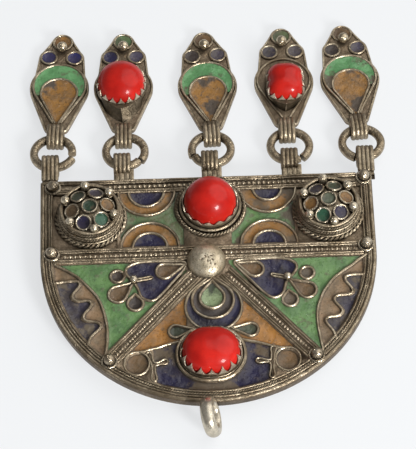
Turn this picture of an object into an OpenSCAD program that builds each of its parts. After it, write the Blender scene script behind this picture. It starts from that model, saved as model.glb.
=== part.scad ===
// Enamelled silver fibula with five drops, lying face up on a table.
// X runs to the right along the straight edge, Y away from the thick loop towards the drops,
// Z up. The table is at Z = 0. Sizes are in millimetres.

/* [Plate] */
// Width of the plate across its straight sides
plate_w = 60; // [58:1:63]
// Thickness of the sheet and its raised walls together
plate_t = 1.65; // [1.5:0.05:2]
// Height of the back of the plate above the table
pin_h = 2; // [1.8:0.05:2.2]
// Depth of the enamel cells below the tops of their walls
cell_depth = 0.9; // [0.7:0.05:1]
// Thickness of the cell walls
wall_w = 0.5; // [0.4:0.05:0.55]
// How far the enamel stays below the tops of the walls
enamel_low = 0.28; // [0.2:0.02:0.4]

/* [Domes and stones] */
// Height of the filigree domes above the sheet
dome_h = 4.1; // [3.6:0.1:4.4]
// Radius of the upper coral
coral_r = 4.7; // [4.5:0.05:4.75]
// Height of the setting of the upper coral
bezel_h = 2.2; // [1.8:0.1:2.6]
// Radius of the silver balls of the plate
ball_r = 1.05; // [0.9:0.05:1.2]

/* [Rings and drops] */
// Middle radius of a jump ring
ring_r = 3.55; // [3.5:0.01:3.6]
// Thickness of the wire of a jump ring
ring_wire = 1.56; // [1.3:0.02:1.6]
// Inner radius of the bails
bail_in = 1.15; // [1.1:0.01:1.2]
// Thickness of the strip of a bail
bail_t = 0.55; // [0.45:0.05:0.6]
// Width of a bail
bail_w = 3; // [2.8:0.1:3.1]
// Thickness of a drop
drop_t = 1.1; // [1:0.05:1.3]
// Length of a drop without its bail
drop_len = 22.5; // [22:0.1:23]
// Largest width of a drop
drop_w = 11; // [10.4:0.1:11.1]

/* [Loop] */
// Middle radius of the thick loop at the round edge
loop_r = 2.7; // [2.5:0.05:2.8]
// Thickness of its strip
loop_t = 1.6; // [1.4:0.05:1.7]
// Width of its strip
loop_w = 2.4; // [2.2:0.05:2.5]

/* [Hidden] */
$fn = 64;
u = plate_w / 60;
half = plate_w / 2;
top_y = 16 * u;
gap = 0.05;
z_top = pin_h + plate_t;
z_field = z_top - 0.35;
z_floor = z_top - cell_depth;
ring_tilt = 8;
ring_z = bail_in + bail_t + ring_r * sin(ring_tilt);
drop_z = bail_in + bail_t - drop_t / 2;
drop_tilt = asin(drop_z / drop_len);
bail_z = ring_z + ring_r * sin(ring_tilt);
// The middle of the whole outline, moved to X = 0 and Y = 0
mid_x = 0.425;
mid_y = 7.16;

SILVER = "#8d8474";
CORAL = "#c0201a";
GREEN = "#5a8f66";
BLUE = "#2e3350";
ORANGE = "#a5713a";
BROWN = "#6d5a48";

// Cells of the plate, all cut into its front
CELLS = [
    "orange_moons_left", "orange_moons_right", "blue_moons_left", "blue_moons_right",
    "green_upper_left", "green_upper_right",
    "green_flower_left", "green_flower_right", "blue_flower_left", "blue_flower_right",
    "brown_petal_left", "brown_petal_right", "orange_tear_left", "orange_tear_right",
    "dark_loops_left", "dark_loops_right",
    "blue_lens_left", "blue_lens_right", "orange_lens_left", "orange_lens_right",
    "nest_green", "nest_brown", "nest_blue",
    "orange_lower_left", "orange_lower_right", "green_petal_left", "green_petal_right",
    "blue_lower", "brown_loop_left", "brown_loop_right"
];

// Half moons: centre, outer radius, inner radius, side on which they bulge
MOON_L = [[[-10.9, 13.55], 5.1, 3.2, -1], [[-10.4, 1.6], 5.2, 3.1, 1]];
MOON_R = [[[11, 13.55], 5.1, 2.6, -1], [[11, 1.6], 5.1, 2.9, 1]];

// Round things on the plate: centres
DOME_L = [-21, 8.2];
DOME_R = [21.8, 8.2];
STONE_U = [0.6, 9.65];
STONE_D = [-0.1, -20.7];
BOSS = [-0.4, -1.7];

// Stamped bands that run down from the boss: start and end of the middle line
DIAG_L = [[-2.4, -4.2], [-17.3, -20.8]];
DIAG_R = [[3, -4], [17.7, -20.9]];

// Curved walls that close off the side lenses, from the middle band to the lower balls
LENS_L = [[-27.6, -1.3], [-24, -3.6], [-22, -5.6], [-20, -8.2], [-18.9, -11], [-18.3, -14],
    [-18.2, -17], [-18.6, -20.4]];
LENS_R = [[28.2, -1.2], [24.2, -4.2], [22, -6], [20, -9], [19, -12], [18.8, -14], [19, -17],
    [19.5, -20.4]];

// Wavy wires inside the lenses
WAVE_L = [[-27.4, -5.2], [-23.5, -4.9], [-22.9, -5.8], [-24.5, -8], [-23.5, -9.1], [-21.5, -8.9],
    [-20.8, -9.8], [-22.6, -12.3], [-21.8, -13.2], [-20, -13.4], [-19.2, -14.3], [-21.1, -16.4],
    [-21.6, -18]];
WAVE_R = [[27.4, -5.3], [24.5, -5.4], [24, -6.3], [25.4, -8.3], [25, -9.3], [22.5, -9.5],
    [21.9, -10.5], [23.4, -12.5], [22.7, -13.6], [20.6, -13.9], [20.2, -14.8], [21.5, -16.7],
    [21.9, -18.2]];

// Blue flowers with two lobes
FLOWER_L = [[-4.2, -1.7], [-8, -1.35], [-12, -1.35], [-14.3, -2.2], [-14.8, -3.5], [-13.9, -4.9],
    [-13.1, -6], [-12.6, -7.2], [-12.1, -8.6], [-10.5, -9.4], [-9, -8.7], [-6.5, -5.7], [-4.6, -3.4]];
FLOWER_R = [[4.8, -1.7], [9, -1.4], [13, -1.4], [15.2, -2.3], [15.6, -3.6], [14.7, -5],
    [13.7, -6.2], [13.4, -7.3], [12.9, -8.7], [11.4, -9.5], [9.9, -8.7], [7.4, -5.8], [5.3, -3.3]];
HOOK_L = [[-13.9, -5.3], [-11.8, -5], [-10.3, -4.7]];
HOOK_R = [[14.4, -5.6], [12.6, -5.2], [11.2, -4.8]];

// Teardrops: tip, centre, radius
PETAL_L = [[-4.2, -2.2], [-7.9, -3.4], 1.5];
PETAL_R = [[4.9, -2.1], [8.2, -3.5], 1.5];
TEAR_L = [[-13.6, -5.6], [-16.3, -7.9], 1.65];
TEAR_R = [[14.2, -5.9], [17.3, -8.1], 1.6];
SMALL_L = [[-13.2, -7.9], [-13.2, -9.9], 1.4];
SMALL_R = [[14, -8.1], [14.2, -10], 1.35];
LOOP_L = [[-16.3, -4.2], 1.25];
LOOP_R = [[17.4, -4.6], 1.25];
NEST = [[[0.5, -5.6], [0.4, -9.1], 2.2], [[0.5, -5], [0.5, -9.6], 3.7], [[0.5, -4.2], [0.6, -10.9], 5]];
LEAF_L = [[-3, -15.4], [-6.2, -15.8], 1.25];
LEAF_R = [[3.6, -15.4], [7, -15.8], 1.3];
RINGLET_L = [[-10.8, -19.7], [-13, -22.1], 2.15];
RINGLET_R = [[11, -19.8], [13.2, -22.1], 2.15];
ARMS_L = [[[-10.5, -19.4], [-10.2, -22.4]], [[-10.2, -22.4], [-7.7, -21.8]], [[-10.2, -22.4], [-9.9, -25.8]]];
ARMS_R = [[[11, -19.4], [10.5, -22.4]], [[10.5, -22.4], [8.1, -22.1]], [[10.5, -22.4], [10.6, -25.8]]];

// Balls of the plate
BALLS = [[-27.8, 14.8], [28.6, 15.1], [-28, 0.7], [28.2, 0.8], [-17.9, -21.5], [18.3, -21.5]];

// One row for each jump ring: centre X, centre Y, place of the cut in degrees, width of the cut
RINGS = [[-27.8, 23.3, -6, 0.5], [-14.6, 23.2, -42, 0.4], [1.2, 23.1, 206, 0.3],
    [15.6, 23.3, -58, 0.6], [28.75, 23.5, 250, 0.1]];

// One row for each bail of the plate: X, 1 where it lies on the front of a corner
BAILS = [[-28.3, 1], [-15.2, 0], [0.8, 0], [15.35, 0], [29.15, 1]];

// One row for each drop: X and Y of the narrow end, lean in degrees, 1 where it holds a coral
DROPS = [[-27.35, 28.2, 3.5, 0], [-14.9, 27.9, 0.6, 1], [1.3, 27.7, -2.5, 0],
    [15.2, 28, -0.5, 1], [28.3, 28.3, -4.8, 0]];

// Parts of a drop, measured from its narrow end
body_y = 10.1;
lobe_x = 2.4;
lobe_y = 17.2;
crown_y = drop_len - 1.95;
OUTER_TEAR = [[0, 0.6], [0, body_y + 0.5], drop_w / 2 - 0.6];
INNER_TEAR = [[0, 1.1], [0, 8.8], 3.4];

// One row for each coral of a drop: centre X, centre Y, radius, half the straight length along Y,
// height of the dome
DROP_STONE_2 = [-0.35, 10.3, 4.35, 0.2, 3.5];
DROP_STONE_4 = [0.2, 9.4, 3.1, 0.8, 3];

// One step of a smooth curve through four points
function between(a, b, c, d, t) =
    0.5 * (2 * b + (c - a) * t + (2 * a - 5 * b + 4 * c - d) * t * t
        + (3 * b - a - 3 * c + d) * t * t * t);

function smooth_open(p, n = 4) = let (m = len(p)) concat(
    [for (i = [0:m - 2]) each [for (k = [0:n - 1])
        between(p[max(i - 1, 0)], p[i], p[i + 1], p[min(i + 2, m - 1)], k / n)]],
    [p[m - 1]]);

function smooth_closed(p, n = 4) = let (m = len(p))
    [for (i = [0:m - 1]) each [for (k = [0:n - 1])
        between(p[(i + m - 1) % m], p[i], p[(i + 1) % m], p[(i + 2) % m], k / n)]];

// Outline of a teardrop: its tip and the arc between the two tangents
function teardrop(s, n = 20) =
    let (d = s[0] - s[1], turn = atan2(d[1], d[0]), open = acos(s[2] / norm(d)))
    concat([s[0]], [for (i = [0:n]) let (a = turn + open + (360 - 2 * open) * i / n)
        s[1] + s[2] * [cos(a), sin(a)]]);

// Outline of the plate, drawn in by s
function plate_outline(s) = let (r = half - s) concat(
    [[r, top_y - s], [-r, top_y - s]],
    [for (i = [0:60]) r * [cos(180 + 3 * i), sin(180 + 3 * i)]]);

// A thread of no real width, which parts two cells
module thread(p) {
    for (i = [0:len(p) - 2]) {
        d = p[i + 1] - p[i];
        n = 0.01 * [-d[1], d[0]] / norm(d);
        polygon([p[i] + n, p[i] - n, p[i + 1] - n, p[i + 1] + n]);
    }
}

module moon(s, r) {
    intersection() {
        translate(s[0])
            circle(r);
        translate([s[0][0] - r, s[3] > 0 ? s[0][1] : s[0][1] - r])
            square([2 * r, r]);
    }
}

module moons(table, column) {
    for (s = table)
        moon(s, s[column]);
}

// The part of the plate that a band covers
module band_area(d, w) {
    v = d[1] - d[0];
    translate(d[0])
        rotate(atan2(v[1], v[0]))
            translate([-1, -w])
                square([norm(v) + 2, 2 * w]);
}

module upper_area(side) {
    difference() {
        translate([side > 0 ? 4 : -15.9, 1.6])
            square([11.9, 11.95]);
        translate(STONE_U)
            circle(6.25);
        translate(side > 0 ? DOME_R : DOME_L)
            circle(6.3);
    }
}

module lens_area(lens, side) {
    intersection() {
        circle(28);
        polygon(concat(smooth_open(lens), [[side * 31, -24], [side * 31, -1]]));
    }
}

module wave_area(wave, side) {
    m = len(wave) - 1;
    polygon(concat(smooth_open(wave), [[side * 31, wave[m][1] - 3], [side * 31, wave[0][1]]]));
}

module flower_area(lens, diag, side) {
    difference() {
        intersection() {
            circle(28);
            polygon(concat([[side * 0.2, -1.2]], smooth_open(lens), [diag[1], diag[0]]));
        }
        translate([-30, -1.2])
            square([60, 3]);
        band_area(diag, 1.35);
        translate(BOSS)
            circle(3.7);
    }
}

module stadium(r, e) {
    for (s = [-1, 1])
        translate([s * e, 0])
            circle(r);
    translate([-e, -r])
        square([2 * e, 2 * r]);
}

module stone_down_area(grow) {
    translate(STONE_D)
        stadium(4.95 + grow, 0.75);
}

module lower_area() {
    difference() {
        intersection() {
            circle(28);
            polygon([[0.3, -2], DIAG_L[1], [-22, -26], [0, -33], [22, -26], DIAG_R[1]]);
        }
        band_area(DIAG_L, 1.35);
        band_area(DIAG_R, 1.35);
        stone_down_area(0.3);
    }
}

module triangle_area(side, diag, leaf) {
    difference() {
        intersection() {
            lower_area();
            polygon([[side * 4, -7], [side * 22, -25], [side * 15.5, -20.6], [side * 5, -17.7],
                [side * 4, -16.6]]);
        }
        polygon(teardrop(NEST[2]));
        polygon(teardrop(leaf));
    }
}

// The middle line of the walls around one fill
module cell(name) {
    if (name == "orange_moons_left") difference() {
        moons(MOON_L, 1);
        moons(MOON_L, 2);
    }
    if (name == "orange_moons_right") difference() {
        moons(MOON_R, 1);
        moons(MOON_R, 2);
        translate(STONE_U)
            circle(6.25);
    }
    if (name == "blue_moons_left")
        moons(MOON_L, 2);
    if (name == "blue_moons_right")
        moons(MOON_R, 2);
    if (name == "green_upper_left") difference() {
        upper_area(-1);
        moons(MOON_L, 1);
    }
    if (name == "green_upper_right") difference() {
        upper_area(1);
        moons(MOON_R, 1);
    }
    if (name == "green_flower_left") difference() {
        flower_area(LENS_L, DIAG_L, -1);
        polygon(smooth_closed(FLOWER_L));
        polygon(teardrop(TEAR_L));
        polygon(teardrop(SMALL_L));
        translate(LOOP_L[0])
            circle(LOOP_L[1]);
    }
    if (name == "green_flower_right") difference() {
        flower_area(LENS_R, DIAG_R, 1);
        polygon(smooth_closed(FLOWER_R));
        polygon(teardrop(TEAR_R));
        polygon(teardrop(SMALL_R));
        translate(LOOP_R[0])
            circle(LOOP_R[1]);
    }
    if (name == "blue_flower_left") difference() {
        polygon(smooth_closed(FLOWER_L));
        polygon(teardrop(PETAL_L));
        thread(HOOK_L);
        translate(BOSS)
            circle(3.7);
    }
    if (name == "blue_flower_right") difference() {
        polygon(smooth_closed(FLOWER_R));
        polygon(teardrop(PETAL_R));
        thread(HOOK_R);
        translate(BOSS)
            circle(3.7);
    }
    if (name == "brown_petal_left")
        polygon(teardrop(PETAL_L));
    if (name == "brown_petal_right")
        polygon(teardrop(PETAL_R));
    if (name == "orange_tear_left")
        polygon(teardrop(TEAR_L));
    if (name == "orange_tear_right")
        polygon(teardrop(TEAR_R));
    if (name == "dark_loops_left") {
        polygon(teardrop(SMALL_L));
        translate(LOOP_L[0])
            circle(LOOP_L[1]);
    }
    if (name == "dark_loops_right") {
        polygon(teardrop(SMALL_R));
        translate(LOOP_R[0])
            circle(LOOP_R[1]);
    }
    if (name == "blue_lens_left") intersection() {
        lens_area(LENS_L, -1);
        wave_area(WAVE_L, -1);
    }
    if (name == "blue_lens_right") intersection() {
        lens_area(LENS_R, 1);
        wave_area(WAVE_R, 1);
    }
    if (name == "orange_lens_left") difference() {
        lens_area(LENS_L, -1);
        wave_area(WAVE_L, -1);
    }
    if (name == "orange_lens_right") difference() {
        lens_area(LENS_R, 1);
        wave_area(WAVE_R, 1);
    }
    if (name == "nest_green")
        polygon(teardrop(NEST[0]));
    if (name == "nest_brown") difference() {
        polygon(teardrop(NEST[1]));
        polygon(teardrop(NEST[0]));
        translate(BOSS)
            circle(3.5);
    }
    if (name == "nest_blue") difference() {
        polygon(teardrop(NEST[2]));
        polygon(teardrop(NEST[1]));
        band_area(DIAG_L, 1.35);
        band_area(DIAG_R, 1.35);
        translate(BOSS)
            circle(3.5);
        stone_down_area(0.3);
        polygon(teardrop(LEAF_L));
        polygon(teardrop(LEAF_R));
    }
    if (name == "orange_lower_left")
        triangle_area(-1, DIAG_L, LEAF_L);
    if (name == "orange_lower_right")
        triangle_area(1, DIAG_R, LEAF_R);
    if (name == "green_petal_left") difference() {
        polygon(teardrop(LEAF_L));
        stone_down_area(0.3);
    }
    if (name == "green_petal_right") difference() {
        polygon(teardrop(LEAF_R));
        stone_down_area(0.3);
    }
    if (name == "blue_lower") difference() {
        intersection() {
            lower_area();
            polygon([[-10.6, -19.2], [-5, -17.7], [0, -17], [5, -17.7], [11, -19.3], [10.6, -25.9],
                [9.4, -33], [-9.2, -33], [-10, -25.9], [-10.3, -22.4]]);
        }
        for (a = ARMS_L)
            thread(a);
        for (a = ARMS_R)
            thread(a);
    }
    if (name == "brown_loop_left")
        polygon(teardrop(RINGLET_L));
    if (name == "brown_loop_right")
        polygon(teardrop(RINGLET_R));
}

// An outline drawn in by some way, without its thinnest tips
module soft_inset(inset) {
    offset(delta = 0.001)
        intersection() {
            offset(r = -inset, $fn = 8)
                children();
            offset(delta = 0.12)
                offset(r = -inset - 0.12, $fn = 8)
                    children();
        }
}

// A fill drawn in from the middle of its walls
module fill_area(name, inset) {
    soft_inset(inset)
        scale([u, u, u])
            cell(name, $fn = 40);
}

// The colour and shape of one enamel fill of the plate
module enamel(name, colour) {
    color(colour)
        placed()
            translate([0, 0, z_floor + gap])
                linear_extrude(cell_depth - enamel_low - gap)
                    fill_area(name, wall_w / 2 + gap);
}

// Grooves of one stamped band that runs along X from 0, with a row of beads in its middle
module band_cuts(run, beads_from, beads_to) {
    for (s = [-1, 1], g = [0.55, 1.03])
        translate([0, s * g - 0.07])
            square([run, 0.14]);
    difference() {
        translate([0, -0.36])
            square([run, 0.72]);
        for (x = [beads_from + 0.45:0.9:beads_to])
            translate([x, 0])
                circle(d = 0.7, $fn = 6);
    }
}

module diagonal_cuts(d) {
    v = d[1] - d[0];
    translate(d[0])
        rotate(atan2(v[1], v[0]))
            band_cuts(norm(v), 0, norm(v));
}

// Everything that lies a little lower than the tops of the walls
module low_areas() {
    offset(delta = 0.001)
        union() {
            difference() {
                polygon(plate_outline(0.75));
                polygon(plate_outline(0.95));
                translate([-40, top_y - 1.2])
                    square([80, 9]);
            }
            difference() {
                polygon(plate_outline(1.6));
                polygon(plate_outline(1.8));
                translate([-40, 13.2 * u])
                    square([80, 9]);
            }
            scale([u, u, u])
                union() {
                    translate([-27, 14.75])
                        band_cuts(54, 9, 45);
                    translate([-27.6, 0.2])
                        band_cuts(55.2, 1, 54);
                    diagonal_cuts(DIAG_L);
                    diagonal_cuts(DIAG_R);
                    for (s = [-1, 1])
                        translate([s > 0 ? 16.2 : -27.8, 1.7])
                            square([11.6, 11.7]);
                }
        }
}

module cells_cut() {
    offset(delta = 0.001)
        for (c = CELLS)
            fill_area(c, wall_w / 2);
}

module hoop(r, wire) {
    rotate_extrude()
        translate([r, 0])
            circle(d = wire, $fn = 24);
}

module ball(p, r) {
    translate([p[0], p[1], z_top + r * 0.75])
        sphere(r, $fn = 32);
    translate([p[0], p[1], z_top + 0.1])
        hoop(r * 1.2, 0.5);
    translate([p[0], p[1], z_top - 0.3])
        cylinder(r = r * 1.2, h = 0.5);
}

module plate_body() {
    difference() {
        union() {
            translate([-half, 0, pin_h])
                cube([plate_w, top_y, plate_t]);
            intersection() {
                translate([0, 0, pin_h])
                    cylinder(r = half, h = plate_t, $fn = 128);
                translate([-half - 1, -half - 1, pin_h - 1])
                    cube([plate_w + 2, half + 1.5, plate_t + 2]);
            }
        }
        translate([0, 0, z_field])
            linear_extrude(2)
                low_areas();
        translate([0, 0, z_floor])
            linear_extrude(2)
                cells_cut();
    }
}

// The round wire along the edge
module edge_wire() {
    z = z_top - 0.4;
    r = half - 0.4;
    translate([0, 0, z])
        rotate([0, 0, 180])
            rotate_extrude(angle = 180, $fn = 128)
                translate([r, 0])
                    circle(0.45, $fn = 24);
    for (s = [-1, 1])
        translate([s * r, 0, z])
            rotate([-90, 0, 0])
                cylinder(r = 0.45, h = top_y - 0.1, $fn = 24);
}

// The seven cells of a dome, from the height of their rims; the outer six lean outward
module at_dome_cells() {
    translate([0, 0, dome_h + 0.45])
        children();
    for (i = [0:5])
        rotate([0, 0, 60 * i + 10])
            translate([3.25, 0, dome_h - 0.3])
                rotate([0, 25, 0])
                    children();
}

module dome() {
    h = dome_h;
    difference() {
        union() {
            rotate_extrude()
                polygon([[0, 0], [5.8, 0], [5.8, 0.9], [5.4, 0.9], [5.4, 2], [5.15, 2], [5.15, h - 0.85],
                    [4.8, h - 0.85], [4.8, h - 1.15], [1.5, h + 0.1], [0, h + 0.1]]);
            for (w = [[5.9, 0.35, 0.8], [5.6, 1.05, 0.5], [5.4, 1.9, 0.6], [5.25, 2.6, 0.5],
                [5.1, h - 0.8, 0.5]])
                translate([0, 0, w[1]])
                    hoop(w[0], w[2]);
            at_dome_cells()
                translate([0, 0, -1.5])
                    cylinder(r = 1.45, h = 1.5, $fn = 32);
            for (i = [0:5])
                rotate([0, 0, 60 * i + 40])
                    translate([4.6, 0, h - 1.3]) {
                        cylinder(r = 0.4, h = 1, $fn = 16);
                        translate([0, 0, 1.1])
                            sphere(0.66, $fn = 24);
                    }
        }
        at_dome_cells()
            translate([0, 0, -0.6])
                cylinder(r = 1.12, h = 1, $fn = 32);
    }
}

module dome_cells(at) {
    placed()
        translate([at[0] * u, at[1] * u, z_field])
            at_dome_cells()
                translate([0, 0, gap - 0.6])
                    cylinder(r = 1.12 - gap, h = 0.4, $fn = 32);
}

module tooth(wide, tall) {
    rotate([90, 0, 90])
        translate([0, 0, -0.13])
            linear_extrude(0.26)
                polygon([[-wide / 2, -0.5], [wide / 2, -0.5], [wide * 0.36, tall * 0.4], [0.1, tall],
                    [-0.1, tall], [-wide * 0.36, tall * 0.4]]);
}

// Pointed teeth of a setting, folded up around a stone whose straight sides are 2 e long
module teeth(r, e, count, wide, tall) {
    for (i = [0:count - 1]) {
        a = 360 * i / count;
        translate([sign(cos(a)) * e + r * cos(a), r * sin(a), 0])
            rotate([0, 0, a])
                tooth(wide, tall);
    }
    if (e > 0.5)
        for (s = [-1, 1])
            translate([0, s * r, 0])
                rotate([0, 0, s * 90])
                    tooth(wide, tall);
}

module upper_setting() {
    r = coral_r + 0.08;
    translate([STONE_U[0] * u, STONE_U[1] * u, z_field])
        union() {
            difference() {
                cylinder(r = r + 0.28, h = bezel_h);
                translate([0, 0, 0.5])
                    cylinder(r = r, h = bezel_h);
            }
            cylinder(r = 5.9, h = 0.4);
            translate([0, 0, 0.45])
                hoop(5.85, 0.65);
            translate([0, 0, 0.95])
                hoop(r + 0.5, 0.5);
            translate([0, 0, bezel_h])
                teeth(r + 0.14, 0, 15, 1.6, 0.7);
        }
}

module lower_setting() {
    translate([STONE_D[0] * u, STONE_D[1] * u, z_field])
        union() {
            difference() {
                linear_extrude(1.8)
                    stadium(4.4 + 0.3, 0.75);
                translate([0, 0, 0.5])
                    linear_extrude(3)
                        stadium(4.42, 0.75);
            }
            linear_extrude(0.75)
                stadium(5, 0.75);
            translate([0, 0, 1.8])
                teeth(4.56, 0.75, 16, 1, 1.3);
        }
}

module boss() {
    r = (3.5 * 3.5 + 2.3 * 2.3) / (2 * 2.3);
    translate([BOSS[0] * u, BOSS[1] * u, z_top - 0.1])
        intersection() {
            translate([0, 0, 2.4 - r])
                sphere(r);
            translate([-5, -5, 0])
                cube([10, 10, 5]);
        }
}

// Side view of a bail: a ring of strip with the end that is soldered down
module bail_side(e, ri, ro) {
    difference() {
        stadium(ro, e);
        stadium(ri, e);
    }
}

module ribs(w, count) {
    for (i = [0:count - 1])
        translate([0, 0, w * ((i + 0.5) / count - 0.5)])
            children();
}

module plate_bail(row) {
    ro = bail_in + bail_t;
    e = 0.45;
    translate([row[0] * u, top_y + 4.2, bail_z])
        rotate([90, 0, 90]) {
            linear_extrude(bail_w, center = true)
                bail_side(e, bail_in, ro - 0.12);
            ribs(bail_w, 4)
                linear_extrude(bail_w / 4 - 0.24, center = true)
                    bail_side(e, bail_in, ro);
            if (row[1] == 1) {
                linear_extrude(bail_w, center = true) {
                    translate([-5.5, z_top - bail_z - 0.2])
                        square([4.15, ro - 0.12 - z_top + bail_z + 0.2]);
                    translate([-1.4, bail_in + 0.02])
                        square([1.4, ro - 0.14 - bail_in]);
                }
            } else {
                translate([0, 0, 0.3])
                    linear_extrude(bail_w + 0.6, center = true)
                        translate([-4.6, -0.5])
                            square([2.9, 1.05]);
            }
        }
}

module bottom_loop() {
    translate([-0.3 * u, -half - 3, loop_r + loop_t / 2])
        rotate([0, -12, 8])
            rotate([0, 90, 0])
                rotate_extrude()
                    polygon([for (a = [15:30:345]) [loop_r + loop_t / 2 * cos(a), loop_w / 2 * sin(a)]]);
}

module placed() {
    translate([-mid_x, -mid_y, 0])
        children();
}

module plate() {
    color(SILVER)
        placed()
            union() {
                plate_body();
                edge_wire();
                translate([DOME_L[0] * u, DOME_L[1] * u, z_field])
                    dome();
                translate([DOME_R[0] * u, DOME_R[1] * u, z_field])
                    dome();
                upper_setting();
                lower_setting();
                boss();
                for (b = BALLS)
                    ball(b * u, ball_r);
                for (b = [[-13.4, -5.2], [13.9, -5.5]])
                    translate([b[0] * u, b[1] * u, z_top + 0.28])
                        sphere(0.5, $fn = 24);
                for (b = BAILS)
                    plate_bail(b);
                bottom_loop();
            }
}

// A plain needle with a block at each end, behind the plate
module back_pin() {
    color(SILVER)
        placed()
            union() {
                for (s = [-1, 1])
                    translate([s * 19 - 1.5, 2, 0])
                        cube([3, 4, pin_h - gap]);
                translate([-19, 4, pin_h / 2])
                    rotate([0, 90, 0])
                        cylinder(d = 1.1, h = 38, $fn = 24);
            }
}

module jump_ring(row) {
    color(SILVER)
        placed()
            translate([row[0] * u, top_y + row[1] - 16, ring_z])
                rotate([-ring_tilt, 0, 0])
                    difference() {
                        hoop(ring_r, ring_wire);
                        rotate([0, 0, row[2]])
                            translate([ring_r - 2, -row[3] / 2, -2])
                                cube([4, row[3], 4]);
                    }
}

module at_drop(row) {
    translate([row[0] * u, top_y + row[1] - 16, drop_z])
        rotate([0, 0, -row[2]])
            rotate([-drop_tilt, 0, 0])
                children();
}

module drop_outline(s) {
    offset(delta = -s)
        hull() {
            translate([-1.9, 0])
                square([3.8, 1]);
            translate([0, body_y])
                circle(drop_w / 2);
            for (t = [-1, 1])
                translate([t * lobe_x, lobe_y])
                    circle(2.1);
            translate([0, crown_y])
                circle(1.95);
        }
}

// The walls inside a drop that carries enamel
module crescent_area(inset) {
    soft_inset(inset)
        difference() {
            polygon(teardrop(OUTER_TEAR));
            polygon(teardrop(INNER_TEAR));
            translate([-8, -1])
                square([16, 9]);
        }
}

module tear_area(inset) {
    soft_inset(inset)
        difference() {
            polygon(teardrop(INNER_TEAR));
            translate([-4, -2])
                square([8, 5]);
        }
}

module head_area(r) {
    for (t = [-1, 1])
        translate([t * lobe_x, lobe_y])
            circle(r, $fn = 32);
    translate([0, crown_y])
        circle(r - 0.05, $fn = 32);
}

module drop_bail() {
    ro = bail_in + bail_t;
    e = 0.3;
    translate([0, -bail_in - e - 0.05, drop_t / 2])
        rotate([90, 0, 90]) {
            linear_extrude(bail_w, center = true) {
                bail_side(e, bail_in, ro - 0.12);
                translate([e + 0.7, drop_t / 2 - 0.1])
                    square([2.7, ro - 0.12 - drop_t / 2 + 0.1]);
            }
            ribs(bail_w, 4)
                linear_extrude(bail_w / 4 - 0.24, center = true) {
                    bail_side(e, bail_in, ro);
                    translate([e + 0.7, drop_t / 2])
                        square([2.5, ro - drop_t / 2]);
                }
        }
}

// Setting of a coral on a drop, with a keel towards the bail
module keel_setting(s) {
    difference() {
        union() {
            hull() {
                translate([0, 0, drop_t - 0.1])
                    linear_extrude(0.1)
                        polygon(teardrop([[0, 2.4], [s[0], s[1]], s[2] + 0.45], 28));
                translate([s[0], s[1], drop_t + 1.4])
                    rotate([0, 0, 90])
                        linear_extrude(0.1)
                            stadium(s[2] + 0.32, s[3]);
            }
            translate([s[0], s[1], drop_t + 1.5])
                rotate([0, 0, 90])
                    teeth(s[2] + 0.2, s[3], round(4.1 * (s[2] + s[3])), 0.9, 0.9);
        }
        translate([s[0], s[1], drop_t + 0.3])
            rotate([0, 0, 90])
                linear_extrude(4)
                    stadium(s[2] + 0.07, s[3]);
    }
}

module drop(row, stone) {
    color(SILVER)
        placed()
            at_drop(row)
                union() {
                    difference() {
                        linear_extrude(drop_t)
                            drop_outline(0);
                        translate([0, 0, drop_t - 0.25])
                            linear_extrude(1)
                                offset(delta = 0.001)
                                    difference() {
                                        drop_outline(0.45);
                                        polygon(teardrop(OUTER_TEAR));
                                        head_area(1.65);
                                        translate([0, 19.2])
                                            circle(0.9);
                                        translate([-8, -1])
                                            square([16, 4.4]);
                                    }
                        translate([0, 0, drop_t - 0.6])
                            linear_extrude(1)
                                head_area(1.25);
                        if (row[3] == 0) {
                            translate([0, 0, drop_t - 0.6])
                                linear_extrude(1)
                                    crescent_area(0.25);
                            translate([0, 0, drop_t - 0.6])
                                linear_extrude(1)
                                    tear_area(0.25);
                        }
                    }
                    translate([0, 18.4, drop_t + 0.4])
                        sphere(0.95, $fn = 24);
                    drop_bail();
                    if (row[3] == 1)
                        keel_setting(stone);
                }
}

module head_cells(row) {
    placed()
        at_drop(row)
            translate([0, 0, drop_t - 0.6 + gap])
                linear_extrude(0.4)
                    head_area(1.25 - gap);
}

module crescent(row) {
    color(GREEN)
        placed()
            at_drop(row)
                translate([0, 0, drop_t - 0.6 + gap])
                    linear_extrude(0.4)
                        crescent_area(0.25 + gap);
}

module tear(row) {
    color(ORANGE)
        placed()
            at_drop(row)
                translate([0, 0, drop_t - 0.6 + gap])
                    linear_extrude(0.4)
                        tear_area(0.25 + gap);
}

// The upper part of a ball that is r wide and h high, and straight below
module domed_stone(r, e, h, deep) {
    big = (r * r + h * h) / (2 * h);
    intersection() {
        union() {
            for (s = [-1, 1])
                translate([s * e, 0, h - big])
                    sphere(big);
            translate([-e, 0, h - big])
                rotate([0, 90, 0])
                    cylinder(r = big, h = 2 * e);
        }
        translate([0, 0, -deep])
            linear_extrude(h + deep + 1)
                stadium(r - 0.01, e);
    }
}

module coral_upper() {
    color(CORAL)
        placed()
            translate([STONE_U[0] * u, STONE_U[1] * u, z_field + bezel_h]) {
                intersection() {
                    sphere(coral_r);
                    translate([-6, -6, 0])
                        cube([12, 12, 6]);
                }
                translate([0, 0, 0.55 - bezel_h])
                    cylinder(r = coral_r, h = bezel_h - 0.5);
            }
}

module coral_lower() {
    color(CORAL)
        placed()
            translate([STONE_D[0] * u, STONE_D[1] * u, z_field + 1.8])
                domed_stone(4.35, 0.75, 3.2, 1);
}

module drop_coral(row, s) {
    color(CORAL)
        placed()
            at_drop(row)
                translate([s[0], s[1], drop_t + 1.5])
                    rotate([0, 0, 90])
                        domed_stone(s[2], s[3], s[4], 1.1);
}

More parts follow.
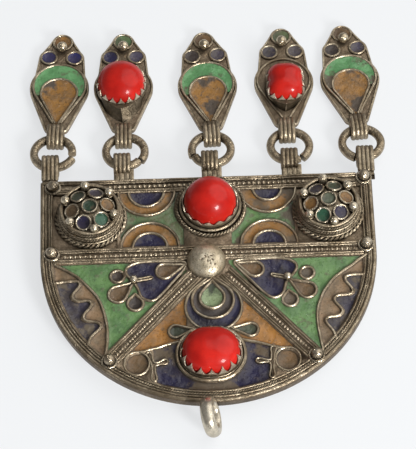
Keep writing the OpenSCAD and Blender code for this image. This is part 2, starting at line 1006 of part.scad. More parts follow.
plate();
back_pin();
jump_ring(RINGS[0]);  // jump_ring_1
jump_ring(RINGS[1]);  // jump_ring_2
jump_ring(RINGS[2]);  // jump_ring_3
jump_ring(RINGS[3]);  // jump_ring_4
jump_ring(RINGS[4]);  // jump_ring_5
drop(DROPS[0], DROP_STONE_2);  // drop_1
drop(DROPS[1], DROP_STONE_2);  // drop_2
drop(DROPS[2], DROP_STONE_2);  // drop_3
drop(DROPS[3], DROP_STONE_4);  // drop_4
drop(DROPS[4], DROP_STONE_2);  // drop_5
coral_upper();
coral_lower();
drop_coral(DROPS[1], DROP_STONE_2);  // coral_drop_2
drop_coral(DROPS[3], DROP_STONE_4);  // coral_drop_4
enamel("orange_moons_left", ORANGE);  // orange_moons_left
enamel("orange_moons_right", ORANGE);  // orange_moons_right
enamel("blue_moons_left", BLUE);  // blue_moons_left
enamel("blue_moons_right", BLUE);  // blue_moons_right
enamel("green_upper_left", GREEN);  // green_upper_left
enamel("green_upper_right", GREEN);  // green_upper_right
enamel("green_flower_left", GREEN);  // green_flower_left
enamel("green_flower_right", GREEN);  // green_flower_right
enamel("blue_flower_left", BLUE);  // blue_flower_left
enamel("blue_flower_right", BLUE);  // blue_flower_right
enamel("brown_petal_left", BROWN);  // brown_petal_left
enamel("brown_petal_right", BROWN);  // brown_petal_right
enamel("orange_tear_left", ORANGE);  // orange_tear_left
enamel("orange_tear_right", ORANGE);  // orange_tear_right
enamel("dark_loops_left", BROWN);  // dark_loops_left
enamel("dark_loops_right", BROWN);  // dark_loops_right
enamel("blue_lens_left", BLUE);  // blue_lens_left
enamel("blue_lens_right", BLUE);  // blue_lens_right
enamel("orange_lens_left", ORANGE);  // orange_lens_left
enamel("orange_lens_right", ORANGE);  // orange_lens_right
enamel("nest_green", GREEN);  // nest_green
enamel("nest_brown", BROWN);  // nest_brown
enamel("nest_blue", BLUE);  // nest_blue
enamel("orange_lower_left", ORANGE);  // orange_lower_left
enamel("orange_lower_right", ORANGE);  // orange_lower_right
enamel("green_petal_left", GREEN);  // green_petal_left
enamel("green_petal_right", GREEN);  // green_petal_right
enamel("blue_lower", BLUE);  // blue_lower
enamel("brown_loop_left", BROWN);  // brown_loop_left
enamel("brown_loop_right", BROWN);  // brown_loop_right
color(GREEN) dome_cells(DOME_L);  // dome_cells_left
color(GREEN) dome_cells(DOME_R);  // dome_cells_right
color(ORANGE) head_cells(DROPS[0]);  // head_cells_1
color(GREEN) head_cells(DROPS[1]);  // head_cells_2
color(BROWN) head_cells(DROPS[2]);  // head_cells_3
color(GREEN) head_cells(DROPS[3]);  // head_cells_4
color(BROWN) head_cells(DROPS[4]);  // head_cells_5
crescent(DROPS[0]);  // crescent_1
crescent(DROPS[2]);  // crescent_3
crescent(DROPS[4]);  // crescent_5
tear(DROPS[0]);  // tear_1
tear(DROPS[2]);  // tear_3
tear(DROPS[4]);  // tear_5
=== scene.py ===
"""Berber fibula brooch of aged silver, cell enamel and coral.

Sizes are in millimetres, and finished pieces are turned to metres.
"""

import math

import bmesh
import bpy
import numpy as np
from mathutils import Matrix, Vector, geometry, noise


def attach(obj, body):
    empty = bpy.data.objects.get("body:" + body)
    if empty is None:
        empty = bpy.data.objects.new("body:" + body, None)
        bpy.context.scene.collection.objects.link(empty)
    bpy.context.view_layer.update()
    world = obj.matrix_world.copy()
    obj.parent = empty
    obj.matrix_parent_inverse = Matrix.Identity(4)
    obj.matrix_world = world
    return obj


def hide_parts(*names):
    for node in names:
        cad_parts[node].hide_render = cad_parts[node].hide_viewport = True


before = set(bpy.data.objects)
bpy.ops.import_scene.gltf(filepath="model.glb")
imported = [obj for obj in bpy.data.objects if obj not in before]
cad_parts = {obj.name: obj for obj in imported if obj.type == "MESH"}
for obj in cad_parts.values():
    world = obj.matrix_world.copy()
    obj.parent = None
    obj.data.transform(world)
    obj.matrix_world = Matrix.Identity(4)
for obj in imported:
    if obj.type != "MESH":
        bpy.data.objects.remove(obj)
# Without a seed, noise_vector would differ from run to run
noise.seed_set(11)
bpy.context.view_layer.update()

MM = 0.001
PER_METRE = 1000.0
# The plate's own coordinates have X = 0 in its middle and Y = 0 where its straight sides end
SHIFT = np.array([0.425, 7.16, 0.0])
# Plate: half its width, its straight edge, the top of its walls and the ground between them
HALF, TOP_Y, Z_TOP, Z_FIELD = 30.0, 16.0, 3.65, 3.3
DOME_H = 4.1
CORAL_R, BEZEL_H = 4.7, 2.2
# Bails: inner radius, thickness and width of the strip
BAIL_IN, BAIL_T, BAIL_W = 1.15, 0.55, 3.0
RING_R, RING_WIRE, RING_TILT = 3.55, 1.56, 8.0
DROP_T, DROP_LEN, DROP_W = 1.1, 22.5, 11.0
RING_Z = BAIL_IN + BAIL_T + RING_R * math.sin(math.radians(RING_TILT))
BAIL_Z = RING_Z + RING_R * math.sin(math.radians(RING_TILT))
DROP_Z = BAIL_IN + BAIL_T - DROP_T / 2
DROP_TILT = math.degrees(math.asin(DROP_Z / DROP_LEN))
UP = (0.0, 0.0, 1.0)
HERE = Matrix.Identity(4)

DOMES = {"left": (-21.0, 8.2), "right": (21.8, 8.2)}
UPPER_CORAL, LOWER_CORAL, BOSS = (0.6, 9.65), (-0.1, -20.7), (-0.4, -1.7)
# Half moons: centre X, centre Y, outer radius, inner radius, side on which they bulge
MOONS = [(-10.9, 13.55, 5.1, 3.2, -1), (-10.4, 1.6, 5.2, 3.1, 1),
         (11, 13.55, 5.1, 2.6, -1), (11, 1.6, 5.1, 2.9, 1)]
# Stamped bands that run down from the boss: start and end of the middle line
DIAGONALS = [((-2.4, -4.2), (-17.3, -20.8)), ((3, -4), (17.7, -20.9))]
# Left and right inner edge of the side lenses, waves in them and heart-shaped walls
LENS = [
    [(-27.6, -1.3), (-24, -3.6), (-22, -5.6), (-20, -8.2), (-18.9, -11), (-18.3, -14), (-18.2, -17),
     (-18.6, -20.4)],
    [(28.2, -1.2), (24.2, -4.2), (22, -6), (20, -9), (19, -12), (18.8, -14), (19, -17), (19.5, -20.4)],
]
WAVE = [
    [(-27.4, -5.2), (-23.5, -4.9), (-22.9, -5.8), (-24.5, -8), (-23.5, -9.1), (-21.5, -8.9), (-20.8, -9.8),
     (-22.6, -12.3), (-21.8, -13.2), (-20, -13.4), (-19.2, -14.3), (-21.1, -16.4), (-21.6, -18)],
    [(27.4, -5.3), (24.5, -5.4), (24, -6.3), (25.4, -8.3), (25, -9.3), (22.5, -9.5), (21.9, -10.5),
     (23.4, -12.5), (22.7, -13.6), (20.6, -13.9), (20.2, -14.8), (21.5, -16.7), (21.9, -18.2)],
]
FLOWER = [
    [(-4.2, -1.7), (-8, -1.35), (-12, -1.35), (-14.3, -2.2), (-14.8, -3.5), (-13.9, -4.9), (-13.1, -6),
     (-12.6, -7.2), (-12.1, -8.6), (-10.5, -9.4), (-9, -8.7), (-6.5, -5.7), (-4.6, -3.4)],
    [(4.8, -1.7), (9, -1.4), (13, -1.4), (15.2, -2.3), (15.6, -3.6), (14.7, -5), (13.7, -6.2),
     (13.4, -7.3), (12.9, -8.7), (11.4, -9.5), (9.9, -8.7), (7.4, -5.8), (5.3, -3.3)],
]
# Double wires that end in a ball: place of the ball and far end
HOOKS = [((-13.4, -5.2), (-10.3, -4.7)), ((13.9, -5.5), (11.2, -4.8))]
# Teardrops: tip, centre, radius
TEARDROPS = [
    ((-4.2, -2.2), (-7.9, -3.4), 1.5), ((4.9, -2.1), (8.2, -3.5), 1.5),
    ((-13.6, -5.6), (-16.3, -7.9), 1.65), ((14.2, -5.9), (17.3, -8.1), 1.6),
    ((-13.2, -7.9), (-13.2, -9.9), 1.4), ((14, -8.1), (14.2, -10), 1.35),
]
# Rings that a seam runs into: centre, radius
RINGLETS = [(-13.1, -22, 2.2), (13.3, -22, 2.2)]
NEST = [((0.5, -5.6), (0.4, -9.1), 2.2), ((0.5, -5), (0.5, -9.6), 3.7), ((0.5, -4.2), (0.6, -10.9), 5)]
LEAVES = [((-3, -15.4), (-6.2, -15.8), 1.25), ((3.6, -15.4), (7, -15.8), 1.3)]
# Open curls: centre, radius, middle of the opening in degrees
CURLS = [(-16.3, -4.2, 1.25, 15), (17.4, -4.6, 1.25, 165)]
# Stars of one bent wire: middle, ends of the three arms
STARS = [((-10.2, -22.4), ((-11.1, -19.9), (-7.7, -21.7), (-10.1, -25.7))),
         ((10.5, -22.4), ((10.9, -19.3), (7.7, -22.1), (10.4, -25.7)))]
SEAMS = [[(-5, -17.7), (-8, -18.5), (-11.6, -19.6)], [(5, -17.7), (8, -18.4), (11.6, -19.7)]]
BALLS = [(-27.8, 14.8), (28.6, 15.1), (-28, 0.7), (28.2, 0.8), (-17.9, -21.5), (18.3, -21.5)]
# Jump rings: centre X, centre Y, place of the cut in degrees, width of the cut
RINGS = [(-27.8, 23.3, -14, 1.2), (-14.6, 23.2, -42, 0.4), (1.2, 23.1, 206, 0.3), (15.6, 23.3, -58, 0.6),
         (28.75, 23.5, 250, 0.1)]
# Bails of the plate: X, 1 where the bail lies on the front of a corner
BAILS = [(-28.3, 1), (-15.2, 0), (0.8, 0), (15.35, 0), (29.15, 1)]
# Drops: X and Y of the narrow end, lean in degrees
DROPS = [(-27.35, 28.2, 3.5), (-14.9, 27.9, 0.6), (1.3, 27.7, -2.5), (15.2, 28, -0.5), (28.3, 28.3, -4.8)]
# Round cells at the far end of a drop
LOBE_X, LOBE_Y, HEAD_Y = 2.4, 17.2, 20.8
OUTER_TEAR = ((0, 0.6), (0, 10.6), 4.9)
INNER_TEAR = ((0, 1.1), (0, 8.8), 3.4)
# Corals of the drops: centre X, centre Y, radius, half the straight length along Y, height
DROP_STONES = {2: (-0.35, 9.8, 4.35, 0.2, 3.5), 4: (0.2, 8.7, 3.15, 0.7, 2.9)}
# How far their corners stand out, as a share of the radius, and where their keels begin
CORNERS, KEEL_TIPS = {2: 0.0, 4: 0.11}, {2: 1.9, 4: 3.3}


# Curves

def smooth(points, loop=False, n=6):
    """A Catmull-Rom curve through the points."""
    p = np.array(points, float)
    m = len(p)
    out = []
    for i in range(m if loop else m - 1):
        a, b, c, d = (p[(i + k) % m if loop else min(max(i + k, 0), m - 1)] for k in (-1, 0, 1, 2))
        for t in np.arange(n) / n:
            out.append(0.5 * (2 * b + (c - a) * t + (2 * a - 5 * b + 4 * c - d) * t * t
                              + (3 * b - a - 3 * c + d) * t ** 3))
    return np.array(out if loop else out + [p[-1]])


def arc(cx, cy, r, start, end, n=40):
    a = np.radians(np.linspace(start, end, n + 1))
    return np.stack([cx + r * np.cos(a), cy + r * np.sin(a)], 1)


def circle(cx, cy, r, n=40):
    return arc(cx, cy, r, 0, 360, n)[:-1]


def teardrop(tip, centre, r, n=36):
    """The tip and the arc between the two tangents from it."""
    d = np.subtract(tip, centre).astype(float)
    way = math.degrees(math.atan2(d[1], d[0]))
    opening = math.degrees(math.acos(r / np.linalg.norm(d)))
    return np.vstack([tip, arc(*centre, r, way + opening, way + 360 - opening, n)])


def rounded(path, passes):
    """The path with its corners worn down."""
    p = resample(path, 0.2)
    for _ in range(passes):
        p[1:-1] = (p[:-2] + 2 * p[1:-1] + p[2:]) / 4
    return p


def resample(path, step, loop=False):
    """The path with points at even distances."""
    p = np.asarray(path, float)
    if loop:
        p = np.vstack([p, p[:1]])
    s = np.r_[0, np.cumsum(np.linalg.norm(np.diff(p, axis=0), axis=1))]
    n = max(2, int(round(s[-1] / step)))
    t = np.linspace(0, s[-1], n + 1)
    q = np.stack([np.interp(t, s, p[:, i]) for i in range(p.shape[1])], 1)
    return q[:-1] if loop else q


def lift(path, z):
    p = np.asarray(path, float)
    return np.column_stack([p[:, :2], np.full(len(p), z)])


def uneven(path, amount, grain=0.35):
    """The same path a little out of true, as hand work is."""
    p = np.asarray(path, float)
    return p + amount * np.array([noise.noise_vector(Vector(q) * grain) for q in p])


def steps(p):
    """From the point before to the point after each point of a closed path."""
    return np.roll(p, -1, 0) - np.roll(p, 1, 0)


def unit(v):
    return v / (np.linalg.norm(v, axis=1)[:, None] + 1e-12)


def directions(p, loop, ref):
    """Along the path, across it and at right angles to both, for each of its points."""
    t = unit(steps(p) if loop else np.gradient(p, axis=0))
    s = unit(np.cross(t, ref))
    return t, s, np.cross(s, t)


def polar(a):
    return np.array([math.cos(a), math.sin(a)])


def oval(r, e, n, turned=False, corners=0.0):
    """Points and outward directions round a circle drawn out by 2 e along X, or along Y if turned."""
    quarter = math.pi * r / 2
    marks = np.cumsum([0, quarter, 2 * e, 2 * quarter, 2 * e, quarter])
    s = marks[-1] * np.arange(n) / n
    a = np.interp(s, marks, np.pi * np.array([0, 0.5, 0.5, 1.5, 1.5, 2]))
    middle = np.interp(s, marks, [e, e, -e, -e, e, e])
    out = np.stack([np.cos(a), np.sin(a)], 1)
    q = r * out + np.outer(middle, (1, 0))
    if turned:
        q, out = (np.stack([-v[:, 1], v[:, 0]], 1) for v in (q, out))
    return q * (1 + corners * bulge(q)), out


def bulge(q):
    """1 towards the four corners of an oval, 0 along its axes."""
    return np.sin(2 * np.arctan2(q[:, 1], q[:, 0]))[:, None] ** 2


# Shapes

class Shape:
    """Points and faces of one piece, in the plate's millimetres."""

    def __init__(self, at=None):
        self.points, self.faces, self.paint, self.count = [], [], [], 0
        self.at = np.array(Matrix.Identity(4) if at is None else at)
        self.colour = 0

    def add(self, points, faces):
        p = np.asarray(points, float).reshape(-1, 3)
        self.points.append(p @ self.at[:3, :3].T + self.at[:3, 3])
        faces = [tuple(int(i) + self.count for i in f) for f in faces]
        self.faces += faces
        self.paint += [self.colour] * len(faces)
        self.count += len(p)

    def grid(self, rows, at=(0, 0, 0), loop=False, caps=False):
        """Closed rows of points, joined to a skin."""
        p = np.asarray(rows, float) + np.array(at, float)
        m, k = p.shape[:2]
        i = np.arange(m if loop else m - 1)[:, None]
        j = np.arange(k)[None, :]
        a, b = i * k + j, i * k + (j + 1) % k
        c, d = ((i + 1) % m) * k + (j + 1) % k, ((i + 1) % m) * k + j
        faces = np.stack([a, b, c, d], -1).reshape(-1, 4).tolist()
        if caps:
            faces += [list(range(k))[::-1], [(m - 1) * k + q for q in range(k)]]
        self.add(p, faces)

    def tube(self, path, r, tall=None, sides=8, loop=False, ref=UP, swell=None, tips=True, square=2.0):
        """A wire along a path: r is half its width, tall half its height."""
        p = np.asarray(path, float)
        tall = r if tall is None else tall
        t, s, u = directions(p, loop, ref)
        size = np.ones(len(p)) if swell is None else np.asarray(swell, float)
        if tips and not loop:
            ends = ((1.0, 0.15), (0.8, 0.6), (0.4, 0.9))
            p = np.vstack([[p[0] - t[0] * r * d for d, _ in ends], p,
                           [p[-1] + t[-1] * r * d for d, _ in ends[::-1]]])
            s, u = (np.vstack([[v[0]] * 3, v, [v[-1]] * 3]) for v in (s, u))
            size = np.r_[[size[0] * q for _, q in ends], size, [size[-1] * q for _, q in ends[::-1]]]
        a = 2 * np.pi * (np.arange(sides) + 0.5) / sides
        ca, sa = (np.sign(w) * np.abs(w) ** (2 / square) for w in (np.cos(a), np.sin(a)))
        rings = (p[:, None] + size[:, None, None]
                 * (ca[None, :, None] * r * s[:, None] + sa[None, :, None] * tall * u[:, None]))
        self.grid(rings, loop=loop, caps=not loop)

    def wire(self, path, z, r, amount, grain=0.35, **more):
        """A tube at one height, a little out of true."""
        self.tube(uneven(lift(path, z), amount, grain), r, **more)

    def rope(self, path, r, pitch, loop=False, flat=1.0):
        """Two strands twisted round each other."""
        p = resample(path, pitch / 8, loop)
        d = np.linalg.norm(np.diff(np.vstack([p, p[:1]]) if loop else p, axis=0), axis=1)
        if loop:
            length = d.sum()
            pitch = length / max(1, round(length / pitch))
        s = np.r_[0, np.cumsum(d)][: len(p)]
        _, side, up = directions(p, loop, UP)
        for k in (0, 0.5):
            a = 2 * np.pi * (s / pitch + k)
            c = p + 0.5 * r * (np.cos(a)[:, None] * side + flat * np.sin(a)[:, None] * up)
            self.tube(c, r * 0.56, r * 0.56 * flat, sides=6, loop=loop, tips=False)

    def lathe(self, centre, profile, n):
        """A profile of (radius, height) turned about Z."""
        a = 2 * np.pi * np.arange(n) / n
        ring = np.stack([np.cos(a), np.sin(a), np.zeros(n)], 1)
        self.grid([[0, 0, z] + r * ring for r, z in profile], centre)

    def ball(self, centre, r, rows, n, tall=1.0, start=-90):
        a = np.radians(np.linspace(start, 90, rows))
        self.lathe(centre, [(r * math.cos(q), r * tall * math.sin(q)) for q in a], n)

    def hoop(self, centre, r, wire, n=72):
        self.tube(lift(circle(*centre[:2], r, n), centre[2]), wire, loop=True)

    def rope_hoop(self, centre, r, wire, pitch):
        self.rope(lift(circle(*centre[:2], r, 120), centre[2]), wire, pitch, loop=True)

    def block(self, low, high):
        (x0, y0, z0), (x1, y1, z1) = low, high
        self.grid([[(x0, y0, z), (x1, y0, z), (x1, y1, z), (x0, y1, z)] for z in (z0, z1)], caps=True)


def make(name, shape, materials, replaced=("plate",), sharp=42, closed=True):
    """Turns a shape into a piece of the scene."""
    me = bpy.data.meshes.new(name)
    me.from_pydata(((np.concatenate(shape.points) - SHIFT) * MM).tolist(), [], shape.faces)
    me.polygons.foreach_set("material_index", shape.paint)
    bm = bmesh.new()
    bm.from_mesh(me)
    bmesh.ops.remove_doubles(bm, verts=bm.verts, dist=2e-7)
    if closed:
        bmesh.ops.recalc_face_normals(bm, faces=bm.faces)
    bm.to_mesh(me)
    bm.free()
    finish_piece(name, me, materials, replaced, sharp)


def finish_piece(name, me, materials, replaced, sharp):
    me.polygons.foreach_set("use_smooth", [True] * len(me.polygons))
    me.set_sharp_from_angle(angle=math.radians(sharp))
    for m in materials if isinstance(materials, list) else [materials]:
        me.materials.append(m)
    obj = bpy.data.objects.new(name, me)
    bpy.context.scene.collection.objects.link(obj)
    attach(obj, "root")
    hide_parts(*replaced)


# Materials

def new_material(name):
    m = bpy.data.materials.new(name)
    m.use_nodes = True
    nt = m.node_tree
    return m, nt, nt.nodes["Principled BSDF"]


def plug(nt, n, inputs):
    """Sets a node's inputs to numbers and colours, or links them to outputs of other nodes."""
    for key, value in inputs.items():
        if isinstance(value, bpy.types.NodeSocket):
            nt.links.new(value, n.inputs[key])
        else:
            n.inputs[key].default_value = value


def node(nt, kind, inputs, operation=None):
    n = nt.nodes.new("ShaderNode" + kind)
    if operation:
        n.operation = operation
    plug(nt, n, inputs)
    return n


def in_millimetres(nt):
    place = nt.nodes.new("ShaderNodeTexCoord").outputs["Object"]
    return node(nt, "VectorMath", {0: place, "Scale": PER_METRE}, "SCALE").outputs["Vector"]


def span(nt, value, low, high, start=0.0, end=1.0):
    """The run of a number from low to high, stretched to the run from start to end."""
    return node(nt, "MapRange", {"Value": value, "From Min": low, "From Max": high, "To Min": start,
                                 "To Max": end}).outputs["Result"]


def grain(nt, where, scale, detail, rough, low, high, start=0.0, end=1.0):
    """Noise between two levels, stretched to a number from start to end."""
    n = node(nt, "TexNoise", {"Vector": where, "Scale": scale, "Detail": detail, "Roughness": rough})
    return span(nt, n.outputs["Fac"], low, high, start, end)


def crevice(nt, distance, low, high):
    """0 deep in a corner, 1 in the open: the mask for dirt and painted shade in hollows."""
    ao = node(nt, "AmbientOcclusion", {"Distance": distance})
    ao.samples = 8
    return span(nt, ao.outputs["AO"], low, high)


def blend(nt, factor, a, b):
    """Colour a where the factor is 0, colour b where it is 1."""
    m = nt.nodes.new("ShaderNodeMix")
    m.data_type = "RGBA"
    first, second = [k for k, s in enumerate(m.inputs) if s.type == "RGBA"]
    a, b = ((*c, 1.0) if isinstance(c, tuple) else c for c in (a, b))
    plug(nt, m, {"Factor": factor, first: a, second: b})
    return [s for s in m.outputs if s.type == "RGBA"][0]


def times(nt, a, b, operation="MULTIPLY"):
    return node(nt, "Math", {0: a, 1: b}, operation).outputs["Value"]


def bumped(nt, shader, heights):
    """Bumps one after the other: (height, depth in metres)."""
    last = {}
    for h, depth in heights:
        b = node(nt, "Bump", {"Strength": 1.0, "Distance": depth, "Height": h, **last})
        last = {"Normal": b.outputs["Normal"]}
    plug(nt, shader, last)


def dim(colour, by, plus=0.0):
    return tuple(q * by + plus for q in colour)


def silver(name, clean, dull, dirt_and_shade, rough, reach=0.0011, pits=0.5, open_at=(0.25, 0.85), metal=0.9,
           bumps=1.0):
    """Aged silver: bright where it is rubbed, brown and black where dirt stays, and dark in its hollows:
    tarnish and painted shade.
    """
    m, nt, bsdf = new_material("silver_" + name)
    mm = in_millimetres(nt)
    patches = grain(nt, mm, 0.3, 3.0, 0.6, 0.36, 0.64)
    fine = grain(nt, mm, 2.6, 4.0, 0.65, 0.32, 0.68)
    speck = grain(nt, mm, 4.5, 2.0, 0.5, 0.6, 0.7)
    wear = grain(nt, mm, 1.1, 5.0, 0.7, 0.42, 0.62)
    c = blend(nt, patches, clean, dull)
    c = blend(nt, times(nt, fine, 0.55), c, dull)
    c = blend(nt, times(nt, speck, pits), c, dirt_and_shade)
    c = blend(nt, times(nt, wear, 0.5), c, dim(dull, 0.55))
    # Hollows within reach turn to the dark colour: tarnish and painted shade
    plug(nt, bsdf, {"Base Color": blend(nt, crevice(nt, reach, *open_at), dirt_and_shade, c), "Metallic": metal,
                    "Roughness": span(nt, fine, 0.0, 1.0, *rough)})
    bumped(nt, bsdf, ((fine, 0.000035 * bumps), (patches, 0.00012 * bumps), (speck, -0.00005)))
    return m


def spots(nt, mm, places):
    """1 near some places of the plate, given as X, Y and radius, with ragged edges."""
    ragged = grain(nt, mm, 0.8, 3.0, 0.5, 0.3, 0.7, -1.3, 1.3)
    total = 0.0
    for x, y, r in places:
        away = node(nt, "VectorMath", {0: mm, 1: (1.0, 1.0, 0.0), 2: (SHIFT[0] - x, SHIFT[1] - y, 0.0)},
                    "MULTIPLY_ADD")
        far = node(nt, "VectorMath", {0: away.outputs["Vector"]}, "LENGTH")
        near = span(nt, times(nt, far.outputs["Value"], ragged, "ADD"), r + 0.6, r - 0.6)
        total = times(nt, total, near, "MAXIMUM")
    return total


def enamel(name, colour, second, dirt_and_shade=(0.042, 0.031, 0.021), rough=(0.16, 0.3), specks=0.4, scale=0.35,
           stain=(0.11, 0.08, 0.05), places=(), blotch=0.6):
    """Opaque enamel in two tones, with pits and brown stains, darkened along its walls by dirt and painted
    shade.
    """
    m, nt, bsdf = new_material("enamel_" + name)
    mm = in_millimetres(nt)
    clouds = grain(nt, mm, scale, 3.0, 0.6, 0.4, 0.6)
    mottle = grain(nt, mm, 2.2, 4.0, 0.62, 0.35, 0.7)
    pits = grain(nt, mm, 3.6, 2.0, 0.5, 0.63, 0.7)
    worn = times(nt, grain(nt, mm, 0.62, 4.0, 0.62, 0.57, 0.66), blotch)
    if places:
        worn = times(nt, worn, spots(nt, mm, places), "MAXIMUM")
    c = blend(nt, clouds, colour, second)
    c = blend(nt, times(nt, mottle, 0.35), c, dim(colour, 1.3, 0.003))
    c = blend(nt, worn, c, stain)
    c = blend(nt, times(nt, pits, specks), c, dirt_and_shade)
    # Darker within 2 mm of the walls and darkest at their foot: dirt and painted shade
    c = blend(nt, crevice(nt, 0.002, 0.42, 0.97), dirt_and_shade, c)
    c = blend(nt, crevice(nt, 0.0005, 0.35, 0.85), dim(dirt_and_shade, 0.45), c)
    dull = times(nt, times(nt, mottle, 0.4), times(nt, worn, 1.6), "ADD")
    plug(nt, bsdf, {"Base Color": c, "Roughness": span(nt, dull, 0.0, 1.0, *rough),
                    "Specular IOR Level": 0.38})
    bumped(nt, bsdf, ((mottle, 0.000012), (clouds, 0.00005), (pits, -0.00004)))
    return m


def coral(colour, second):
    """Polished coral with clouds and faint veins, darker in its hollows with painted shade."""
    m, nt, bsdf = new_material("coral")
    mm = in_millimetres(nt)
    clouds = grain(nt, mm, 0.28, 2.0, 0.5, 0.35, 0.7)
    veins = grain(nt, mm, 1.6, 3.0, 0.55, 0.45, 0.75)
    c = blend(nt, clouds, colour, second)
    c = blend(nt, times(nt, veins, 0.25), c, dim(colour, 0.7))
    # Painted shade: the coral darkens where the teeth and bezel close over it
    c = blend(nt, crevice(nt, 0.001, 0.1, 0.7), dim(colour, 0.3), c)
    plug(nt, bsdf, {"Base Color": c, "Roughness": span(nt, veins, 0.0, 1.0, 0.36, 0.46),
                    "Specular IOR Level": 0.12, "Coat Weight": 0.22, "Coat Roughness": 0.12})
    bumped(nt, bsdf, ((veins, 0.00001),))
    return m


# Dark colour of dirt specks and of painted shade in hollows
DIRT_AND_SHADE = (0.02, 0.014, 0.0085)
SHEET = silver("sheet", (0.33, 0.26, 0.18), (0.19, 0.14, 0.09), (0.085, 0.062, 0.039), (0.36, 0.55), pits=0.6,
               metal=0.75, reach=0.0008)
# Darker silver: painted shade on the plate's steep side walls, and the dark of the boss's pits
SHADED_SIDE_AND_PITS = silver("side", (0.2, 0.15, 0.1), (0.11, 0.08, 0.05), DIRT_AND_SHADE, (0.4, 0.6), metal=0.75)
RING = silver("rings", (0.56, 0.47, 0.335), (0.25, 0.19, 0.12), DIRT_AND_SHADE, (0.22, 0.38), reach=0.0009)
LOOP = silver("loop", (0.74, 0.68, 0.56), (0.5, 0.44, 0.34), DIRT_AND_SHADE, (0.26, 0.36), pits=0.25, bumps=0.25)
WIRE = silver("wire", (0.7, 0.61, 0.455), (0.32, 0.25, 0.165), DIRT_AND_SHADE, (0.31, 0.46), reach=0.001, metal=1.0,
              bumps=0.5)
BANDS = silver("bands", (0.42, 0.345, 0.245), (0.22, 0.17, 0.11), (0.11, 0.081, 0.05), (0.26, 0.44),
               reach=0.0004, open_at=(0.1, 0.65))
GRAINS = silver("grains", (0.6, 0.51, 0.37), (0.36, 0.29, 0.2), (0.13, 0.095, 0.06), (0.24, 0.4),
                reach=0.0003, open_at=(0.1, 0.7), pits=0.3)
RIMS = silver("rims", (0.46, 0.385, 0.275), (0.2, 0.155, 0.1), (0.05, 0.036, 0.022), (0.28, 0.45),
              reach=0.0006)
BRIGHT = silver("rubbed", (0.66, 0.585, 0.455), (0.33, 0.27, 0.19), DIRT_AND_SHADE, (0.2, 0.38), reach=0.0008)
TEETH = silver("teeth", (0.66, 0.59, 0.47), (0.45, 0.37, 0.27), (0.15, 0.11, 0.07), (0.25, 0.4), reach=0.0003,
               open_at=(0.1, 0.6), metal=0.6, pits=0.3)
BEADS = silver("beads", (0.8, 0.72, 0.57), (0.5, 0.42, 0.3), DIRT_AND_SHADE, (0.15, 0.28), pits=0.3, reach=0.0004)
ROPES = silver("ropes", (0.5, 0.42, 0.3), (0.22, 0.17, 0.11), (0.03, 0.021, 0.013), (0.32, 0.48),
               reach=0.0009)
BALL = silver("drop_balls", (0.74, 0.66, 0.5), (0.42, 0.34, 0.23), DIRT_AND_SHADE, (0.16, 0.28), pits=0.4, bumps=0.3)
# Dark brown silver of the keels: tarnish and painted shade under the coral, with a long reach that darkens
# them further near the teeth
KEEL_TARNISH_AND_SHADE = silver("keels", (0.22, 0.175, 0.12), (0.1, 0.078, 0.05), DIRT_AND_SHADE, (0.34, 0.5), reach=0.0018)
SMOOTH = silver("balls", (0.62, 0.545, 0.42), (0.3, 0.24, 0.165), DIRT_AND_SHADE, (0.17, 0.3), pits=0.7)
BOSS_METAL = silver("boss", (0.84, 0.76, 0.6), (0.5, 0.42, 0.29), DIRT_AND_SHADE, (0.4, 0.52), pits=1.0, bumps=0.3,
                    reach=0.0024, open_at=(0.3, 0.92))
PIN = silver("pin", (0.4, 0.36, 0.3), (0.25, 0.21, 0.16), DIRT_AND_SHADE, (0.35, 0.55))
PIN.name = "pin_metal"
GREEN = enamel("green", (0.115, 0.215, 0.075), (0.073, 0.145, 0.056),
               places=((15.5, 7.6, 2.4), (5.6, 2.6, 0.9)), stain=(0.095, 0.078, 0.052))
CRESCENT_GREEN = enamel("bright_green", (0.12, 0.29, 0.12), (0.08, 0.2, 0.08), rough=(0.1, 0.25),
                        places=((23.6, 37.4, 2.0), (32.3, 37.3, 1.9), (29.6, 42.6, 0.2), (-3.6, 36.6, 0.9)),
                        stain=(0.1, 0.08, 0.055))
GREEN_OLD = enamel("old_green", (0.09, 0.16, 0.07), (0.115, 0.12, 0.062), specks=0.6, blotch=0.7)
# The pale green turns dark at the top of the nest, next to the boss
NEST_GREEN = enamel("pale_green", (0.22, 0.28, 0.15), (0.17, 0.22, 0.11), places=((0.5, -6.3, 1.6),),
                    stain=(0.04, 0.05, 0.03))
BLUE = enamel("blue", (0.015, 0.0135, 0.041), (0.023, 0.02, 0.035), (0.045, 0.033, 0.024), rough=(0.12, 0.35),
              places=((0.3, -27.9, 4.0), (-8.7, -20.3, 2.0), (8.9, -20.2, 1.2)), stain=(0.105, 0.077, 0.048),
              blotch=0.25)
WORN_BLUE = enamel("worn_blue", (0.034, 0.03, 0.046), (0.06, 0.05, 0.047), (0.04, 0.03, 0.022),
                   rough=(0.16, 0.4), stain=(0.12, 0.095, 0.065),
                   places=((-26, -4.5, 1.5), (27, -6.5, 1.2), (-21.5, -14.5, 1.0), (23.5, -15, 1.1)))
BRIGHT_BLUE = enamel("bright_blue", (0.024, 0.025, 0.11), (0.035, 0.031, 0.07), rough=(0.14, 0.35),
                     blotch=0.3)
ORANGE = enamel("orange", (0.26, 0.127, 0.033), (0.155, 0.095, 0.041), specks=0.6, rough=(0.2, 0.4),
                places=((15.2, 13.0, 2.1), (9.4, 10.2, 1.0), (15.8, 2.2, 1.8), (-6.2, 12.6, 0.7)),
                stain=(0.12, 0.085, 0.05))
DEEP_ORANGE = enamel("deep_orange", (0.33, 0.15, 0.034), (0.21, 0.112, 0.042), specks=0.6, rough=(0.2, 0.4))
